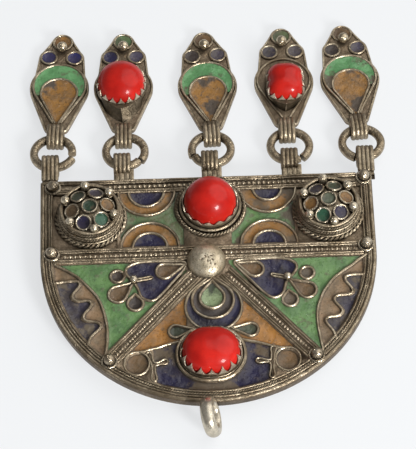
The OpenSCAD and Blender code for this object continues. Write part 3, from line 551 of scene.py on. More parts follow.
TEAR_ORANGE = enamel("worn_orange", (0.27, 0.135, 0.035), (0.17, 0.1, 0.045), specks=0.8, rough=(0.16, 0.4),
                     blotch=0.75, scale=0.5, stain=(0.075, 0.057, 0.042),
                     places=((-29.9, 39.0, 1.3), (-28.6, 40.1, 1.5), (0.2, 38.8, 0.8), (1.3, 39.6, 0.8),
                             (28.2, 39.6, 0.5), (28.8, 32.6, 1.8), (1.5, 32.6, 1.7)))
BROWN = enamel("brown", (0.155, 0.092, 0.043), (0.1, 0.068, 0.037), rough=(0.2, 0.45), specks=0.6)
PALE_BROWN = enamel("pale_brown", (0.24, 0.155, 0.085), (0.16, 0.115, 0.068), rough=(0.25, 0.5), specks=0.6)
GREY = enamel("grey_brown", (0.05, 0.038, 0.032), (0.036, 0.029, 0.027), rough=(0.16, 0.4))
LOAM = enamel("loam", (0.12, 0.09, 0.06), (0.085, 0.066, 0.046), rough=(0.2, 0.45))
DARK_GREEN = enamel("dark_green", (0.02, 0.045, 0.026), (0.014, 0.03, 0.018), rough=(0.08, 0.2))
MOSS = enamel("moss", (0.07, 0.085, 0.052), (0.055, 0.062, 0.045), rough=(0.1, 0.25), specks=0.6)
SLATE = enamel("slate", (0.06, 0.052, 0.085), (0.075, 0.062, 0.055), rough=(0.16, 0.4), specks=0.8,
               blotch=0.7)
GLASS_GREEN = enamel("sea_green", (0.022, 0.085, 0.048), (0.014, 0.055, 0.032), rough=(0.07, 0.15),
                     specks=0.3, blotch=0.2)
CORAL = coral((0.5, 0.015, 0.009), (0.33, 0.007, 0.0045))


# The sheet of the plate

def plate_sheet():
    """The plate's CAD mesh, cut free of the forms that get their own pieces."""
    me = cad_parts["plate"].data.copy()
    me.name = "plate_sheet"
    me.materials.clear()
    bm = bmesh.new()
    bm.from_mesh(me)
    bmesh.ops.remove_doubles(bm, verts=bm.verts, dist=1e-7)
    for point, normal in (((0, 0, Z_TOP + 0.02), (0, 0, 1)), ((0, TOP_Y + 0.01, 0), (0, 1, 0)),
                          ((0, -HALF - 0.06, 0), (0, -1, 0))):
        bmesh.ops.bisect_plane(bm, geom=bm.verts[:] + bm.edges[:] + bm.faces[:], dist=1e-8, clear_outer=True,
                               plane_co=(Vector(point) - Vector(SHIFT)) * MM, plane_no=normal)
    # Steep faces take the darker side silver: painted shade on the plate's side walls
    for f in bm.faces:
        f.material_index = int(abs(f.normal.z) < 0.5)
    bm.to_mesh(me)
    bm.free()
    finish_piece("plate_sheet", me, [SHEET, SHADED_SIDE_AND_PITS], ["plate"], 35)


plate_sheet()


# Enamel, grown over the top of its CAD solid

def top_loops(name, at):
    """Outlines of a CAD fill's upper faces in its own frame, and their height."""
    inverse = Matrix(at).inverted()
    bm = bmesh.new()
    bm.from_mesh(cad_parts[name].data)
    bmesh.ops.remove_doubles(bm, verts=bm.verts, dist=1e-7)
    for v in bm.verts:
        v.co = inverse @ (v.co * PER_METRE + Vector(SHIFT))
    bm.normal_update()
    upper = [f for f in bm.faces if f.normal.z > 0.9]
    tops = set(upper)
    height = max(v.co.z for v in bm.verts)
    follow = {}
    for f in upper:
        for loop in f.loops:
            if sum(g in tops for g in loop.edge.link_faces) == 1:
                follow.setdefault(loop.vert.index, []).append(loop.link_loop_next.vert.index)
    bm.verts.ensure_lookup_table()
    loops = []
    while follow:
        here = start = next(iter(follow))
        chain = []
        while here in follow and not (chain and here == start):
            chain.append(here)
            there = follow[here].pop()
            if not follow[here]:
                del follow[here]
            here = there
        if len(chain) > 2:
            loops.append(np.array([bm.verts[i].co[:2] for i in chain]))
    bm.free()
    return loops, height


def inside(q, loops):
    """Whether each point lies inside the loops, by the number of edges on its right."""
    hit = np.zeros(len(q), bool)
    some = 4000
    for p in loops:
        a, b = p, np.roll(p, -1, 0)
        dy = np.where(b[:, 1] == a[:, 1], 1, b[:, 1] - a[:, 1])
        for s in range(0, len(q), some):
            x, y = q[s:s + some, 0][:, None], q[s:s + some, 1][:, None]
            crossed = (a[:, 1] > y) != (b[:, 1] > y)
            crossed &= x < (b[:, 0] - a[:, 0]) * (y - a[:, 1]) / dy + a[:, 0]
            hit[s:s + some] ^= crossed.sum(1) % 2 == 1
    return hit


# Enamel: distance of its points, of those on its rim and between both, overlap with walls, height of sides
STEP, RIM_STEP, CLEAR, OVERLAP, SKIRT = 0.3, 0.22, 0.14, 0.09, 0.45


def fill(shape, name, rise, hollow, lift_by, colour_of=None, outline=None):
    """A wavy enamel surface with a rim that climbs its walls, in the outline of a CAD fill or a given one."""
    loops, height = top_loops(name, shape.at)
    loops = [resample(p, RIM_STEP, True) for p in outline or loops]
    rim = np.vstack(loops)

    def from_rim(points):
        return np.array([np.min(np.hypot(*(rim - p).T)) for p in points])

    (x0, y0), (x1, y1) = rim.min(0), rim.max(0)
    q = np.array([(x + (0.5 * STEP if k % 2 else 0), y) for k, y in enumerate(np.arange(y0, y1, STEP * 0.87))
                  for x in np.arange(x0, x1, STEP)])
    q = q[inside(q, loops)]
    q = q[from_rim(q) > CLEAR]
    edges, start = [], 0
    for p in loops:
        n = len(p)
        edges += [(start + i, start + (i + 1) % n) for i in range(n)]
        start += n
    flat = [Vector(v) for v in np.vstack([rim, q])]
    verts, _, faces, origin, _, _ = geometry.delaunay_2d_cdt(flat, edges, [], 0, 1e-6)
    v = np.array([tuple(p) for p in verts])
    middle = np.array([v[list(f)].mean(0) for f in faces])
    faces = [f for f, keep in zip(faces, inside(middle, loops)) if keep]
    # The triangulation's own number of each point of the rim
    number = {o: i for i, olds in enumerate(origin) for o in olds if o < len(rim)}
    out = np.zeros_like(v)
    skirts, start = [], 0
    for p in loops:
        side = unit(steps(p)[:, ::-1] * [1, -1])
        if inside((p + 0.03 * side)[:1], loops)[0]:
            side = -side
        skirt = [number[start + i] for i in range(len(p))]
        out[skirt] = side
        skirts.append(skirt)
        start += len(p)
    z = [height + lift_by + rise * math.exp(-d / 0.3) - hollow * (1 - math.exp(-d / 1.2))
         + 0.05 * noise.noise(Vector((x * 0.6, y * 0.6, 3.1)))
         + 0.025 * noise.noise(Vector((x * 2, y * 2, 7.7))) for (x, y), d in zip(v, from_rim(v))]
    v = v + OVERLAP * out
    top = np.column_stack([v, z])
    if colour_of is None:
        sides = [(a, b, b + len(v), a + len(v)) for r in skirts for a, b in zip(r, r[1:] + r[:1])]
        shape.add(np.vstack([top, top - [0, 0, SKIRT]]), faces + sides)
        return
    groups = {}
    for f in faces:
        groups.setdefault(colour_of(*v[list(f)].mean(0)), []).append(f)
    for key, some in groups.items():
        shape.colour = key
        shape.add(top, some)
    shape.colour = 0


# Rims, bands and the wires that part the enamel

def edge_path(s, top):
    """The plate's edge, s inside it, from the height top on its left side round to the same on its right."""
    r = HALF - s
    left = [(-r, y) for y in np.linspace(top, 0.5, 30)]
    right = [(r, y) for y in np.linspace(0.5, top, 30)]
    return np.vstack([left, arc(0, 0, r, 180, 360, 120), right])


rims = Shape()
rims.wire(edge_path(0.4, TOP_Y - 0.15), Z_TOP - 0.12, 0.38, 0.06, 0.2, tall=0.34, sides=12)
rims.wire(edge_path(0.98, TOP_Y - 0.4), Z_TOP - 0.08, 0.25, 0.04)
rims.rope(uneven(lift(edge_path(1.45, 14.6), Z_TOP - 0.02), 0.05), 0.27, 1.0, flat=0.85)
rims.wire(edge_path(1.95, 13.3), Z_TOP - 0.02, 0.2, 0.05)
make("plate_rims", rims, RIMS)


def band(shape, a, b, beads, step=0.9):
    """A stamped band: two wires on each side of a row of beads, which runs between two distances from a."""
    a, b = np.array(a, float), np.array(b, float)
    along = (b - a) / np.linalg.norm(b - a)
    across = np.array([-along[1], along[0]])
    for s in (-1, 1):
        for d, r in ((0.8, 0.2), (1.24, 0.23)):
            line = resample([a + across * s * d, b + across * s * d], 0.7)
            shape.wire(line, Z_TOP - 0.02, r, 0.06, 0.3)
    shape.wire(resample([a, b], 0.7), Z_TOP - 0.33, 0.72, 0.03, tall=0.2, sides=12, square=5, tips=False)
    shape.colour = 1
    for i in range(int((beads[1] - beads[0]) / step)):
        c = a + along * (beads[0] + (i + 0.5) * step)
        worn = 0.75 + 0.3 * noise.noise(Vector((c[0] * 0.3, c[1] * 0.3, 1.7)))
        shape.ball((*c, Z_TOP - 0.12), 0.35, 6, 10, worn, start=-10)
    shape.colour = 0


bands = Shape()
band(bands, (-27, 14.75), (27, 14.75), (9, 45))
band(bands, (-27.6, 0.2), (27.6, 0.2), (1.5, 53.5))
for a, b in DIAGONALS:
    band(bands, a, b, (1, np.linalg.norm(np.subtract(b, a))), 0.66)
make("plate_bands", bands, [BANDS, GRAINS])

walls = Shape()


def wall(path, r, loop=False, z=Z_TOP - 0.03, amount=0.07):
    walls.wire(resample(path, 0.35, loop), z, r, amount, 0.5, loop=loop)


def hairpin(a, b, gap, r):
    """Two wires side by side, joined by a round bend at the far end."""
    a, b = np.array(a, float), np.array(b, float)
    way = math.degrees(math.atan2(*(b - a)[::-1]))
    across = gap * polar(math.radians(way - 90))
    bend = arc(*b, gap, way - 90, way + 90, 8)
    wall(np.vstack([a + across, bend, a - across]), r, z=Z_TOP + 0.02, amount=0.04)


def star(centre, ends):
    """One wire bent into three narrow arms with round ends."""
    c = np.array(centre, float)
    arms = sorted((math.atan2(y, x), math.hypot(x, y)) for x, y in np.array(ends) - c)
    # Outline of an arm: share of its length, distance from its middle line
    arm = ((0.45, -0.27), (0.78, -0.47), (0.94, -0.34), (1, 0), (0.94, 0.34), (0.78, 0.47), (0.45, 0.27))
    path = []
    for k, (a, length) in enumerate(arms):
        d, n = polar(a), polar(a + math.pi / 2)
        half = ((arms[(k + 1) % 3][0] - a) % (2 * math.pi)) / 2
        join = 0.32 / math.sin(half) * polar(a + half)
        path += [c + d * length * f + n * w for f, w in arm] + [c + join]
    wall(smooth(path, True, 4), 0.17, loop=True, z=Z_TOP + 0.04, amount=0.03)


for x, y, big, small, side in MOONS:
    for r in (big, small):
        wall(arc(x, y, r, 0, 180 * side), 0.19)
for k in (0, 1):
    wall(smooth(LENS[k]), 0.23)
    wall(rounded(smooth(WAVE[k]), 15), 0.23)
    wall(smooth(FLOWER[k], True), 0.2, loop=True)
for t in TEARDROPS + NEST + LEAVES:
    wall(teardrop(*t), 0.19, loop=True)
for x, y, r, opening in CURLS:
    wall(arc(x, y, r, opening + 35, opening + 325), 0.19)
for c, ends in STARS:
    star(c, ends)
for a, b in HOOKS:
    hairpin(a, b, 0.24, 0.17)
for s, (x, y, r) in zip(SEAMS, RINGLETS):
    curl = arc(x, y, r, 75, -255, 40) if x > 0 else arc(x, y, r, 105, 435, 40)
    wall(np.vstack([smooth(s), curl * [1, 1.05] - [0, 0.05 * y]]), 0.19)
walls.colour = 1
for place, _ in HOOKS:
    walls.ball((*place, Z_TOP + 0.5), 0.74, 11, 18)
make("plate_wires", walls, [WIRE, BEADS])


# Domes with filigree

# Cells of a dome: radius and height of their place, lean, angle
DOME_CELLS = [(3.25, -0.3, 25, 60 * k + 10) for k in range(6)] + [(0, 0.45, 0, 0)]
# Colours of these cells, from the one towards the right edge round to the left, then the middle one
DOME_COLOURS = {
    "left": [ORANGE, SLATE, MOSS, BROWN, BLUE, GLASS_GREEN, DARK_GREEN],
    "right": [ORANGE, MOSS, SLATE, ORANGE, GLASS_GREEN, BLUE, MOSS],
}


def turn(degrees, axis):
    return Matrix.Rotation(math.radians(degrees), 4, axis)


def dome_cell(side, place):
    """The frame of one cell, at the height of its rim."""
    x, y = DOMES[side]
    d, up, lean, a = place
    return (Matrix.Translation((x, y, Z_FIELD + DOME_H + up)) @ turn(a, "Z") @ Matrix.Translation((d, 0, 0))
            @ turn(lean, "Y"))


def dome(side):
    x, y = DOMES[side]
    z, h = Z_FIELD, DOME_H
    s = Shape()
    s.lathe((x, y, z), [(5.9, -0.2), (5.8, 0.6), (5.5, 0.95), (5.35, 1.6), (5.25, 2.3), (5.15, h - 1.0),
                        (4.85, h - 0.95), (4.7, h - 1.15), (3.9, h - 0.8), (2.7, h - 0.36), (1.4, h + 0.02),
                        (0, h + 0.05)], 72)
    for rope, hoop in (((0.36, 6.0, 0.5, 1.9), (1.0, 5.78, 0.22)),
                       ((1.5, 5.55, 0.3, 1.1), (2.05, 5.45, 0.22)),
                       ((2.6, 5.3, 0.26, 0.95), (h - 0.76, 5.12, 0.3))):
        s.rope_hoop((x, y, z + rope[0]), *rope[1:])
        s.hoop((x, y, z + hoop[0]), *hoop[1:])
    s.colour = 1
    for place in DOME_CELLS:
        s.at = np.array(dome_cell(side, place))
        s.lathe((0, 0, 0), [(1.5, -0.9), (1.47, -0.4), (1.5, -0.2), (1.53, -0.04), (1.46, 0.12), (1.33, 0.17),
                            (1.19, 0.1), (1.14, -0.06), (1.13, -0.6)], 40)
    s.at = np.array(HERE)
    for k in range(6):
        a = math.radians(60 * k + 40)
        s.colour = 2
        s.ball((*(DOMES[side] + 4.62 * polar(a)), z + h + 0.1), 0.8, 13, 22)
        s.colour = 0
        s.hoop((*(DOMES[side] + 4.6 * polar(a)), z + h - 0.62), 0.62, 0.16, 24)
    make("dome_" + side, s, [ROPES, BRIGHT, BEADS])


def dome_enamel(side):
    s = Shape()
    for s.colour, place in enumerate(DOME_CELLS):
        s.at = np.array(dome_cell(side, place))
        s.lathe((0, 0, 0), [(1.17, -0.3), (1.15, -0.02), (1.05, -0.1), (0.8, -0.13), (0.4, -0.12),
                            (0, -0.11)], 36)
    make("dome_enamel_" + side, s, DOME_COLOURS[side], ["dome_cells_" + side], closed=False)


for build in (dome, dome_enamel):
    for side in DOMES:
        build(side)


# Settings with teeth

def bezel(s, centre, r, e, height, teeth, tall, stone, seed, turned=False, low=0.0, sharp=0.8, corners=0.0):
    """A strip round a stone, cut into pointed teeth that lean on it. stone(z) is its radius at a height."""
    per_tooth = 12
    base, out = oval(r, e, teeth * per_tooth, turned, corners)
    tops = []
    for i in range(teeth * per_tooth):
        tooth, phase = divmod(i / per_tooth + 0.5, 1.0)
        spike = max(0.0, 1 - (abs(2 * phase - 1) * 1.08) ** sharp)
        spike *= 0.86 + 0.3 * noise.noise(Vector((tooth * 1.7, seed, 0.5)))
        tops.append(height - 0.08 + tall * spike)
    rows = []
    for t in np.linspace(0, 1, 9):
        row = []
        for p, d, top in zip(base, out, tops):
            if t <= 0.55:
                z = low + (height - low) * (t / 0.55)
            else:
                z = height + (top - height) * (t - 0.55) / 0.45
            far = 0.3 if z <= height else stone(z) - stone(height) + 0.3 - 0.06 * (z - height)
            row.append((*(p + d * far), z))
        rows.append(row)
    inner = [[(*(np.array(q[:2]) - d * 0.19), q[2] - 0.02) for q, d in zip(row, out)] for row in rows[:3:-1]]
    s.grid(rows[:6], centre)
    s.colour = 1
    s.grid(rows[5:] + inner, centre)
    s.colour = 0


upper = Shape()
x, y = UPPER_CORAL
z = Z_FIELD
upper.lathe((x, y, z), [(6.3, -0.3), (6.2, 0.15), (5.9, 0.3), (5.5, 0.3), (5.1, 0.4), (4.9, 0.5)], 72)
upper.rope_hoop((x, y, z + 0.5), 6.02, 0.4, 1.3)
upper.hoop((x, y, z + 1.2), CORAL_R + 0.66, 0.3)
upper.lathe((x, y, z), [(CORAL_R + 0.36, 0.3), (CORAL_R + 0.45, 1.0), (CORAL_R + 0.36, 1.4)], 72)
bezel(upper, (x, y, z), CORAL_R + 0.07, 0, BEZEL_H, 15, 0.8,
      lambda z: math.sqrt(max(1.0, CORAL_R ** 2 - (z - BEZEL_H) ** 2)), 0.3, sharp=1.7)
make("setting_upper", upper, [ROPES, TEETH])

lower = Shape()
x, y = LOWER_CORAL
base, out = oval(4.95, 0.75, 96)
lower.grid([lift(base + out * d, z) for d, z in ((0.1, -0.3), (0.1, 0.4), (-0.1, 0.5), (-0.5, 0.5))],
           (x, y, Z_FIELD))
base, out = oval(5.2, 0.75, 120)
lower.wire(base + [x, y], Z_FIELD + 0.6, 0.36, 0.06, 0.4, loop=True)
lower.tube(lift(base + out * -0.5 + [x, y], Z_FIELD + 0.78), 0.14, loop=True)
bezel(lower, (x, y, Z_FIELD), 4.42, 0.75, 1.6, 16, 1.95,
      lambda z: 4.35 * math.sqrt(max(0.05, 1 - (max(0, z - 1.8) / 3.2) ** 2)), 1.9, sharp=0.75)
make("setting_lower", lower, [WIRE, TEETH])

# Centre boss, flattened at the top and dented, with small pits at some places of the plate
boss = Shape()
PITS = [(-0.5, -1.8), (0.0, -2.1), (0.45, -1.75), (-0.2, -2.8), (0.7, -2.5), (0.25, -3.2), (1.1, -3.3),
        (-1.2, -2.4)]
rows = []
for t in np.linspace(0, 1, 25):
    r = 3.5 * math.cos(t * math.pi / 2) ** 0.85
    row = []
    for a in np.linspace(0, 2 * math.pi, 96, endpoint=False):
        q = Vector((*(r * polar(a)), 2.2))
        dent = (0.1 * noise.noise(q * 0.4) + 0.02 * noise.noise(q * 1.9)
                - 0.1 * max(0, noise.noise(q * 3.1) - 0.25))
        x, y = BOSS[0] + q.x, BOSS[1] + q.y
        hole = sum(0.14 * math.exp(-((x - u) ** 2 + (y - v) ** 2) / 0.035) for u, v in PITS)
        row.append((x, y, Z_TOP - 0.12 + 2.35 * math.sin(t * math.pi / 2) + (dent if t else 0) - hole))
    rows.append(row)
boss.grid(rows)
skin = np.concatenate(boss.points)
# Faces in the pits take the dark side silver: dirt and painted shade in the pits
for i, f in enumerate(boss.faces):
    x, y, _ = skin[list(f)].mean(0)
    boss.paint[i] = int(min(math.hypot(x - u, y - v) for u, v in PITS) < 0.17)
make("boss", boss, [BOSS_METAL, SHADED_SIDE_AND_PITS])

knobs = Shape()
for x, y in BALLS:
    knobs.ball((x, y, Z_TOP + 0.8), 1.05, 19, 36)
    knobs.hoop((x, y, Z_TOP + 0.12), 1.28, 0.26, 40)
    knobs.lathe((x, y, Z_TOP - 0.3), [(1.3, -0.1), (1.3, 0.35), (0.9, 0.5)], 32)
make("balls", knobs, SMOOTH)


# Bails of four half-round ribs, the thick loop and the jump rings

def bail_loop(e, y, z):
    """The middle line of a bail's loop, in its middle plane."""
    p, _ = oval(BAIL_IN + 0.29, e, 56)
    return np.column_stack([np.zeros(len(p)), p + [y, z]])


def ribs(s, path, loop=False, width=BAIL_W, half=0.3, tips=False):
    for i in range(4):
        across = width * ((i + 0.5) / 4 - 0.5)
        s.tube(path + [across, 0, 0], half, 0.44 * width / 3.0, sides=10, loop=loop, ref=(1, 0, 0), tips=tips)


bails = Shape()
for x, corner in BAILS:
    bails.at = np.array(Matrix.Translation((x, TOP_Y + 4.2, BAIL_Z)))
    ribs(bails, bail_loop(0.45, 0, 0), True)
    if corner:
        ribs(bails, np.array([(0, y, 1.32) for y in np.linspace(-3.75, -0.3, 12)]), tips=True)
        bails.block((-1.4, -4.7, 0.76), (1.4, -1.4, 1.25))
    else:
        bails.at = np.array(Matrix.Translation((x + 0.3, TOP_Y + 4.2, BAIL_Z)))
        ribs(bails, np.array([(0, y, 0.22) for y in np.linspace(-4.5, -1.35, 10)]), width=3.5, half=0.12)
        bails.block((-1.75, -4.5, -0.45), (1.75, -1.62, 0.2))
make("bails", bails, ROPES)

loop = Shape(Matrix.Translation((-0.5, -HALF - 2.85, 3.5)) @ turn(3, "Z") @ turn(-15, "Y") @ turn(90, "Y"))
# Its section: distance outwards from the middle radius, distance along its axis
profile = [(-0.75, -0.8), (-0.75, 0.8), (-0.5, 1.1), (-0.1, 1.18), (0.25, 1.1), (0.5, 0.85), (0.7, 0.5),
           (0.8, 0), (0.7, -0.5), (0.5, -0.85), (0.25, -1.1), (-0.1, -1.18), (-0.5, -1.1)]
rows = [((2.75 + r) * math.cos(a), (2.95 + r) * math.sin(a), z)
        for a in np.linspace(0, 2 * math.pi, 96, endpoint=False) for r, z in profile]
loop.grid(uneven(rows, 0.05, 0.2).reshape(96, -1, 3), loop=True)
make("bottom_loop", loop, LOOP)

for k, (x, y, cut, width) in enumerate(RINGS, 1):
    sign = -1 if k in (2, 4) else 1
    s = Shape(Matrix.Translation((x, y, RING_Z)) @ turn(-RING_TILT, "X"))
    half = math.degrees(width / 2 / RING_R)
    p = lift(arc(0, 0, RING_R, cut + half, cut + 360 - half, 96), 0)
    # The two ends stand a little out of the circle, one outwards and one inwards
    bent = np.clip(1 - np.arange(len(p)) / 14, 0, 1)[:, None] ** 2
    p = p * (1 + sign * (0.05 * bent[::-1] - 0.03 * bent))
    swell = [0.975 + 0.02 * noise.noise(Vector((q[0] * 0.8, q[1] * 0.8, k * 3.3))) for q in p]
    s.tube(p, RING_WIRE / 2, sides=16, swell=swell, tips=False, square=2.5)
    make(f"ring_{k}", s, RING, [f"jump_ring_{k}"])

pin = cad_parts["back_pin"]
pin.data.materials.clear()
pin.data.materials.append(PIN)


# Drops

def at_drop(k):
    """The frame of a drop: its narrow end, with Y towards its head."""
    x, y, lean = DROPS[k - 1]
    return Matrix.Translation((x, y, DROP_Z)) @ turn(-lean, "Z") @ turn(-DROP_TILT, "X")


def tangent_hull(*rounds):
    """The outline round some circles, given as X, Y and radius."""
    p = np.vstack([circle(*q, 90) for q in rounds])
    return p[geometry.convex_hull_2d([Vector(q) for q in p])]


def drop_outline(s):
    """The outline of a drop, s inside its edge: the farthest point of its parts in every direction."""
    parts = [tangent_hull((-1.9, 0.01, 0.01), (1.9, 0.01, 0.01), (0, 10.1, DROP_W / 2))]
    for x in (-LOBE_X, LOBE_X):
        parts.append(tangent_hull((x, LOBE_Y, 1.8), (x / 4, 11.5, 4.2)))
        parts.append(tangent_hull((x, LOBE_Y, 1.7), (0, HEAD_Y, 1.85)))
    parts.append(circle(0, HEAD_Y, 2.0, 90))
    middle = 12.0
    a = np.linspace(-np.pi, np.pi, 361)[:-1]
    far = np.zeros(len(a))
    for q in parts:
        q = resample(q, 0.04, True) - [0, middle]
        where = np.round((np.arctan2(q[:, 1], q[:, 0]) + np.pi) / (2 * np.pi) * len(a)).astype(int) % len(a)
        np.maximum.at(far, where, np.hypot(*q.T))
    far = np.convolve(np.r_[far[-3:], far, far[:3]], [0.05, 0.1, 0.2, 0.3, 0.2, 0.1, 0.05], "valid")
    p = resample(np.stack([far * np.cos(a), middle + far * np.sin(a)], 1), 0.4, True)
    return p + s * unit(steps(p)[:, ::-1] * [-1, 1])


def open_tear(tear):
    """A drop's teardrop without its tip, which would run into the bail."""
    p = resample(teardrop(*tear, 60), 0.15, True)
    keep = p[:, 1] > 1.8
    start = int(np.argmax(keep & ~np.roll(keep, 1)))
    p, keep = np.roll(p, -start, 0), np.roll(keep, -start)
    return p[: int(np.argmin(keep))]


def keel(s, stone, tip, corners):
    """The setting of a drop's coral: walls that run out to a keel towards the bail."""
    x, y, r, e, h = stone
    foot = teardrop((0, tip), (x, y), r + 0.3 + corners * r, 60) - [x, y]
    foot_angle = np.arctan2(foot[:, 1], foot[:, 0])
    order = np.argsort(foot_angle)
    foot_angle, far = foot_angle[order], np.hypot(*foot.T)[order]
    shelf, _ = oval(r + 0.3, e, 160, True, corners)
    angle = np.arctan2(shelf[:, 1], shelf[:, 0])
    # The walls lean out towards the bail, where the keel runs up to them
    from_bail = np.abs((np.degrees(angle) + 90 + 180) % 360 - 180)
    lean, reach = 0.23, 34
    top = shelf * (1 + lean * np.clip(1 - from_bail / reach, 0, 1) ** 1.1)[:, None]
    far = np.interp(angle, np.r_[foot_angle - 2 * np.pi, foot_angle, foot_angle + 2 * np.pi], np.tile(far, 3))
    foot = np.stack([np.cos(angle) * far, np.sin(angle) * far], 1)
    rows = [lift(foot * (1 - t) + top * t, DROP_T - 0.35 + 1.8 * t ** 1.15) for t in np.linspace(0, 1, 8)]
    # The walls take the dark keel silver: tarnish and painted shade
    s.colour = 3
    s.grid(rows + [lift(shelf * 0.93, DROP_T + 1.47)], (x, y, 0))
    s.colour = 0
    ridge = y - (1 + lean) * (r + 0.3) - e - tip
    s.tube([(x * t, tip + ridge * t, DROP_T - 0.3 + 1.75 * t) for t in np.linspace(0.1, 1, 8)], 0.13, sides=6)
    bezel(s, (x, y, DROP_T), r - 0.02, e, 1.45, 18 if r > 4 else 15, 1.45,
          lambda z: r * math.sqrt(max(0.05, 1 - (max(0, z - 1.45) / h) ** 2)), r, True, 0.5, corners=corners)


def drop_sheet(k):
    s = Shape(at_drop(k))
    edge = drop_outline(0.0)
    rows = [lift(edge + (edge.mean(0) - edge) * f, z)
            for f, z in ((0.02, 0.0), (0, 0.12), (0, 0.7), (0.012, 0.8))]
    s.grid(rows)
    edges = [(i, (i + 1) % len(edge)) for i in range(len(edge))]
    for row in (rows[0], rows[3]):
        q, _, f, _, _, _ = geometry.delaunay_2d_cdt([Vector(v) for v in row[:, :2]], edges, [], 1, 1e-6)
        s.add([(v.x, v.y, row[0, 2]) for v in q], f)
    make(f"drop_sheet_{k}", s, SHEET, [f"drop_{k}"], sharp=35)


def drop_wires(k):
    s = Shape(at_drop(k))
    s.wire(drop_outline(0.2), DROP_T - 0.3, 0.24, 0.04, tall=0.26, loop=True)
    if k in DROP_STONES:
        keel(s, DROP_STONES[k], KEEL_TIPS[k], CORNERS[k])
        if k == 4:
            s.wire(open_tear(OUTER_TEAR), DROP_T - 0.2, 0.22, 0.05)
    else:
        for tear, r in ((OUTER_TEAR, 0.25), (INNER_TEAR, 0.24)):
            s.wire(open_tear(tear), DROP_T - 0.1, r, 0.05)
    for x, y, r in ((-LOBE_X, LOBE_Y, 1.45), (LOBE_X, LOBE_Y, 1.45), (0, HEAD_Y, 1.72)):
        s.wire(circle(x, y, r, 32), DROP_T - 0.1, 0.21, 0.04, loop=True)
    s.colour = 2
    s.ball((0, 19.15, DROP_T + 0.8), 1.0, 14, 26)
    s.colour = 4
    ribs(s, bail_loop(0.3, -1.5, DROP_T / 2), True)
    ribs(s, smooth([(0, -1.2, 2.0), (0, -0.4, 1.98), (0, 0.4, 1.85), (0, 1.1, 1.5)]), tips=True)
    s.block((-1.4, -0.4, 0.9), (1.4, 0.9, 1.6))
    make(f"drop_wires_{k}", s, [WIRE, TEETH, BALL, KEEL_TARNISH_AND_SHADE, ROPES], [f"drop_{k}"])


for k in range(1, 6):
    drop_sheet(k)
    drop_wires(k)


# Corals

def stone(name, replaced, at, centre, r, e, h, deep, seed, power=2.0, corners=None):
    """A domed coral, h high over a base that reaches deep down. With corners it is drawn out along Y."""
    base, out = oval(r, e, 96, corners is not None)
    square = 1 + (corners or 0) * bulge(base)
    rows = [lift(base * square, -deep)]
    for a in np.linspace(0, 1, 20) * math.pi / 2:
        d = r * (math.cos(a) ** (2 / power) - 1)
        rows.append(lift((base + out * d) * square, h * math.sin(a) ** (2 / power)))
    for row in rows[1:]:
        for q in row:
            q[2] += 0.05 * noise.noise(Vector((q[0] * 0.3, q[1] * 0.3, seed))) * min(1, q[2])
    s = Shape(at)
    s.grid(rows, centre)
    make(name, s, CORAL, [replaced], 60)


stone("coral_top", "coral_upper", HERE, (*UPPER_CORAL, Z_FIELD + BEZEL_H), CORAL_R, 0, CORAL_R - 0.05,
      1.6, 1.0)
stone("coral_bottom", "coral_lower", HERE, (*LOWER_CORAL, Z_FIELD + 1.8), 4.34, 0.75, 3.2, 1.0, 2.0, 2.15)
for k, (x, y, r, e, h) in DROP_STONES.items():
    stone(f"coral_hanging_{k}", f"coral_drop_{k}", at_drop(k), (x, y, DROP_T + 1.5), r, e, h, 1.1, k + 3.0,
          corners=CORNERS[k])


# Enamel of the plate and the drops

def enamel_piece(name, material, slot, rise, hollow, lift_by, at=None, solid=None, **more):
    """The enamel of the CAD fill of the same name, or of another solid."""
    s = Shape(at)
    fill(s, solid or name, rise, hollow, lift_by, **more)
    make("enamel_" + name, s, material, [solid or name], closed=False)


# Sides whose enamel differs from the other side's
ODD = {"green_upper_right": GREEN, "dark_loops_right": LOAM}
# Node name without its side, material, climb at the wall, hollow in the middle, lift
for key, material, *form in (
        ("orange_moons", ORANGE, 0.1, 0.02, 0.04), ("blue_moons", BLUE, 0.12, 0.04, 0.04),
        ("green_upper", GREEN_OLD, 0.1, 0.02, 0.04), ("green_flower", GREEN, 0.1, -0.04, 0.08),
        ("blue_flower", BLUE, 0.12, 0.03, 0.06), ("brown_petal", BROWN, 0.1, 0.08, 0),
        ("orange_tear", BROWN, 0.1, 0.1, 0), ("dark_loops", GREY, 0.1, 0.1, 0),
        ("blue_lens", WORN_BLUE, 0.1, 0.06, 0.04), ("orange_lens", PALE_BROWN, 0.1, 0.05, 0.02),
        ("orange_lower", DEEP_ORANGE, 0.1, 0.0, 0.08), ("green_petal", MOSS, 0.1, 0.08, 0.02),
        ("brown_loop", BROWN, 0.1, 0.1, 0)):
    for side in ("left", "right"):
        name, slot = f"{key}_{side}", key.split("_")[0].replace("dark", "brown")
        enamel_piece(name, ODD.get(name, material), slot, *form)
for name, material, slot, by in (("nest_green", NEST_GREEN, "green", 0.05), ("nest_brown", GREY, "brown", 0),
                                 ("nest_blue", BLUE, "blue", 0.05), ("blue_lower", BLUE, "blue", 0.04)):
    enamel_piece(name, material, slot, 0.1, 0.04, by)

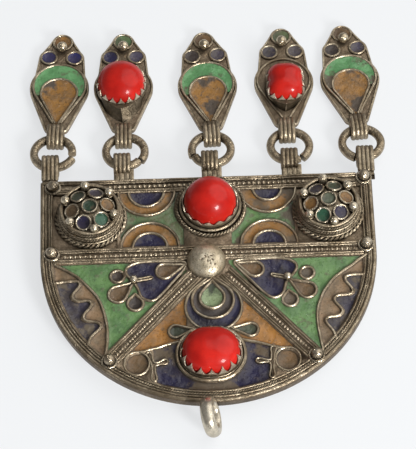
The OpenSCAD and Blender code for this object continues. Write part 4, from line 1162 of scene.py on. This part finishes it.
# Colours of a drop's head: left, right and far cell
HEADS = [[BRIGHT_BLUE, BRIGHT_BLUE, ORANGE], [BRIGHT_BLUE, SLATE, GREEN_OLD], [GREY, SLATE, BROWN],
         [SLATE, SLATE, GREEN_OLD], [GREY, SLATE, BROWN]]
for k, colours in enumerate(HEADS, 1):
    cells = [circle(x, LOBE_Y, 1.24) for x in (-LOBE_X, LOBE_X)] + [circle(0, HEAD_Y, 1.5)]
    enamel_piece(f"head_{k}", colours, "blue", 0.08, 0.05, 0.04, at_drop(k), f"head_cells_{k}", outline=cells,
                 colour_of=lambda x, y: 2 if y > 19 else int(x > 0))
    if k not in DROP_STONES:
        enamel_piece(f"crescent_{k}", CRESCENT_GREEN, "green", 0.08, -0.03, 0.06, at_drop(k))
        enamel_piece(f"tear_{k}", TEAR_ORANGE, "orange", 0.08, 0.03, 0.02, at_drop(k),
                     outline=[teardrop((0, 1.67), (0, 8.8), 3.15, 60)])


# Floor, light and camera

scene = bpy.context.scene
floor_material, nt, bsdf = new_material("floor")
plug(nt, bsdf, {"Base Color": (0.17, 0.175, 0.18, 1), "Emission Color": (0.97, 0.985, 1.0, 1),
                "Emission Strength": 0.7, "Roughness": 0.9})
bpy.ops.mesh.primitive_plane_add(size=3, location=(0, 0, 0))
floor = bpy.context.object
floor.name = "floor"
floor.data.materials.append(floor_material)

world = bpy.data.worlds.new("studio")
scene.world = world
world.use_nodes = True
plug(world.node_tree, world.node_tree.nodes["Background"], {"Color": (0.95, 0.97, 1.0, 1), "Strength": 0.225})
scene.view_settings.view_transform = "Standard"


def lamp(name, direction, distance, size, energy, colour=(1, 1, 1)):
    """A round area light that shines on the origin, with its distance and size in metres."""
    data = bpy.data.lights.new(name, "AREA")
    data.shape = "DISK"
    data.size, data.energy, data.color = size, energy, colour
    obj = bpy.data.objects.new(name, data)
    d = Vector(direction).normalized()
    obj.location = d * distance
    obj.rotation_mode = "QUATERNION"
    obj.rotation_quaternion = d.to_track_quat("Z", "Y")
    scene.collection.objects.link(obj)


lamp("softbox", (0.6, 0.29, 0.75), 0.8, 1.2, 6.05, (1, 0.98, 0.95))
lamp("front_lamp", (0.47, -0.75, 0.46), 0.6, 0.16, 4.1)

# The photo's angle. The focal length is known in pixels of a picture 449 pixels high
AZ, EL, ROLL = -0.368, 58.107, -1.503
FOCAL, PICTURE, SENSOR, AWAY = 2771.879, 449, 36, 0.5
target = (Vector((0.109, 7.09, 2.0)) - Vector(SHIFT)) * MM
cam = bpy.data.cameras.new("camera")
cam.sensor_width = SENSOR
cam.lens = FOCAL * SENSOR / PICTURE
cam.clip_start, cam.clip_end = 0.01, 10
camera = bpy.data.objects.new("camera", cam)
scene.collection.objects.link(camera)
camera.matrix_world = (Matrix.Translation(target) @ turn(AZ, "Z") @ turn(90 - EL, "X") @ turn(ROLL, "Z")
                       @ Matrix.Translation((0, 0, AWAY)))
scene.camera = camera
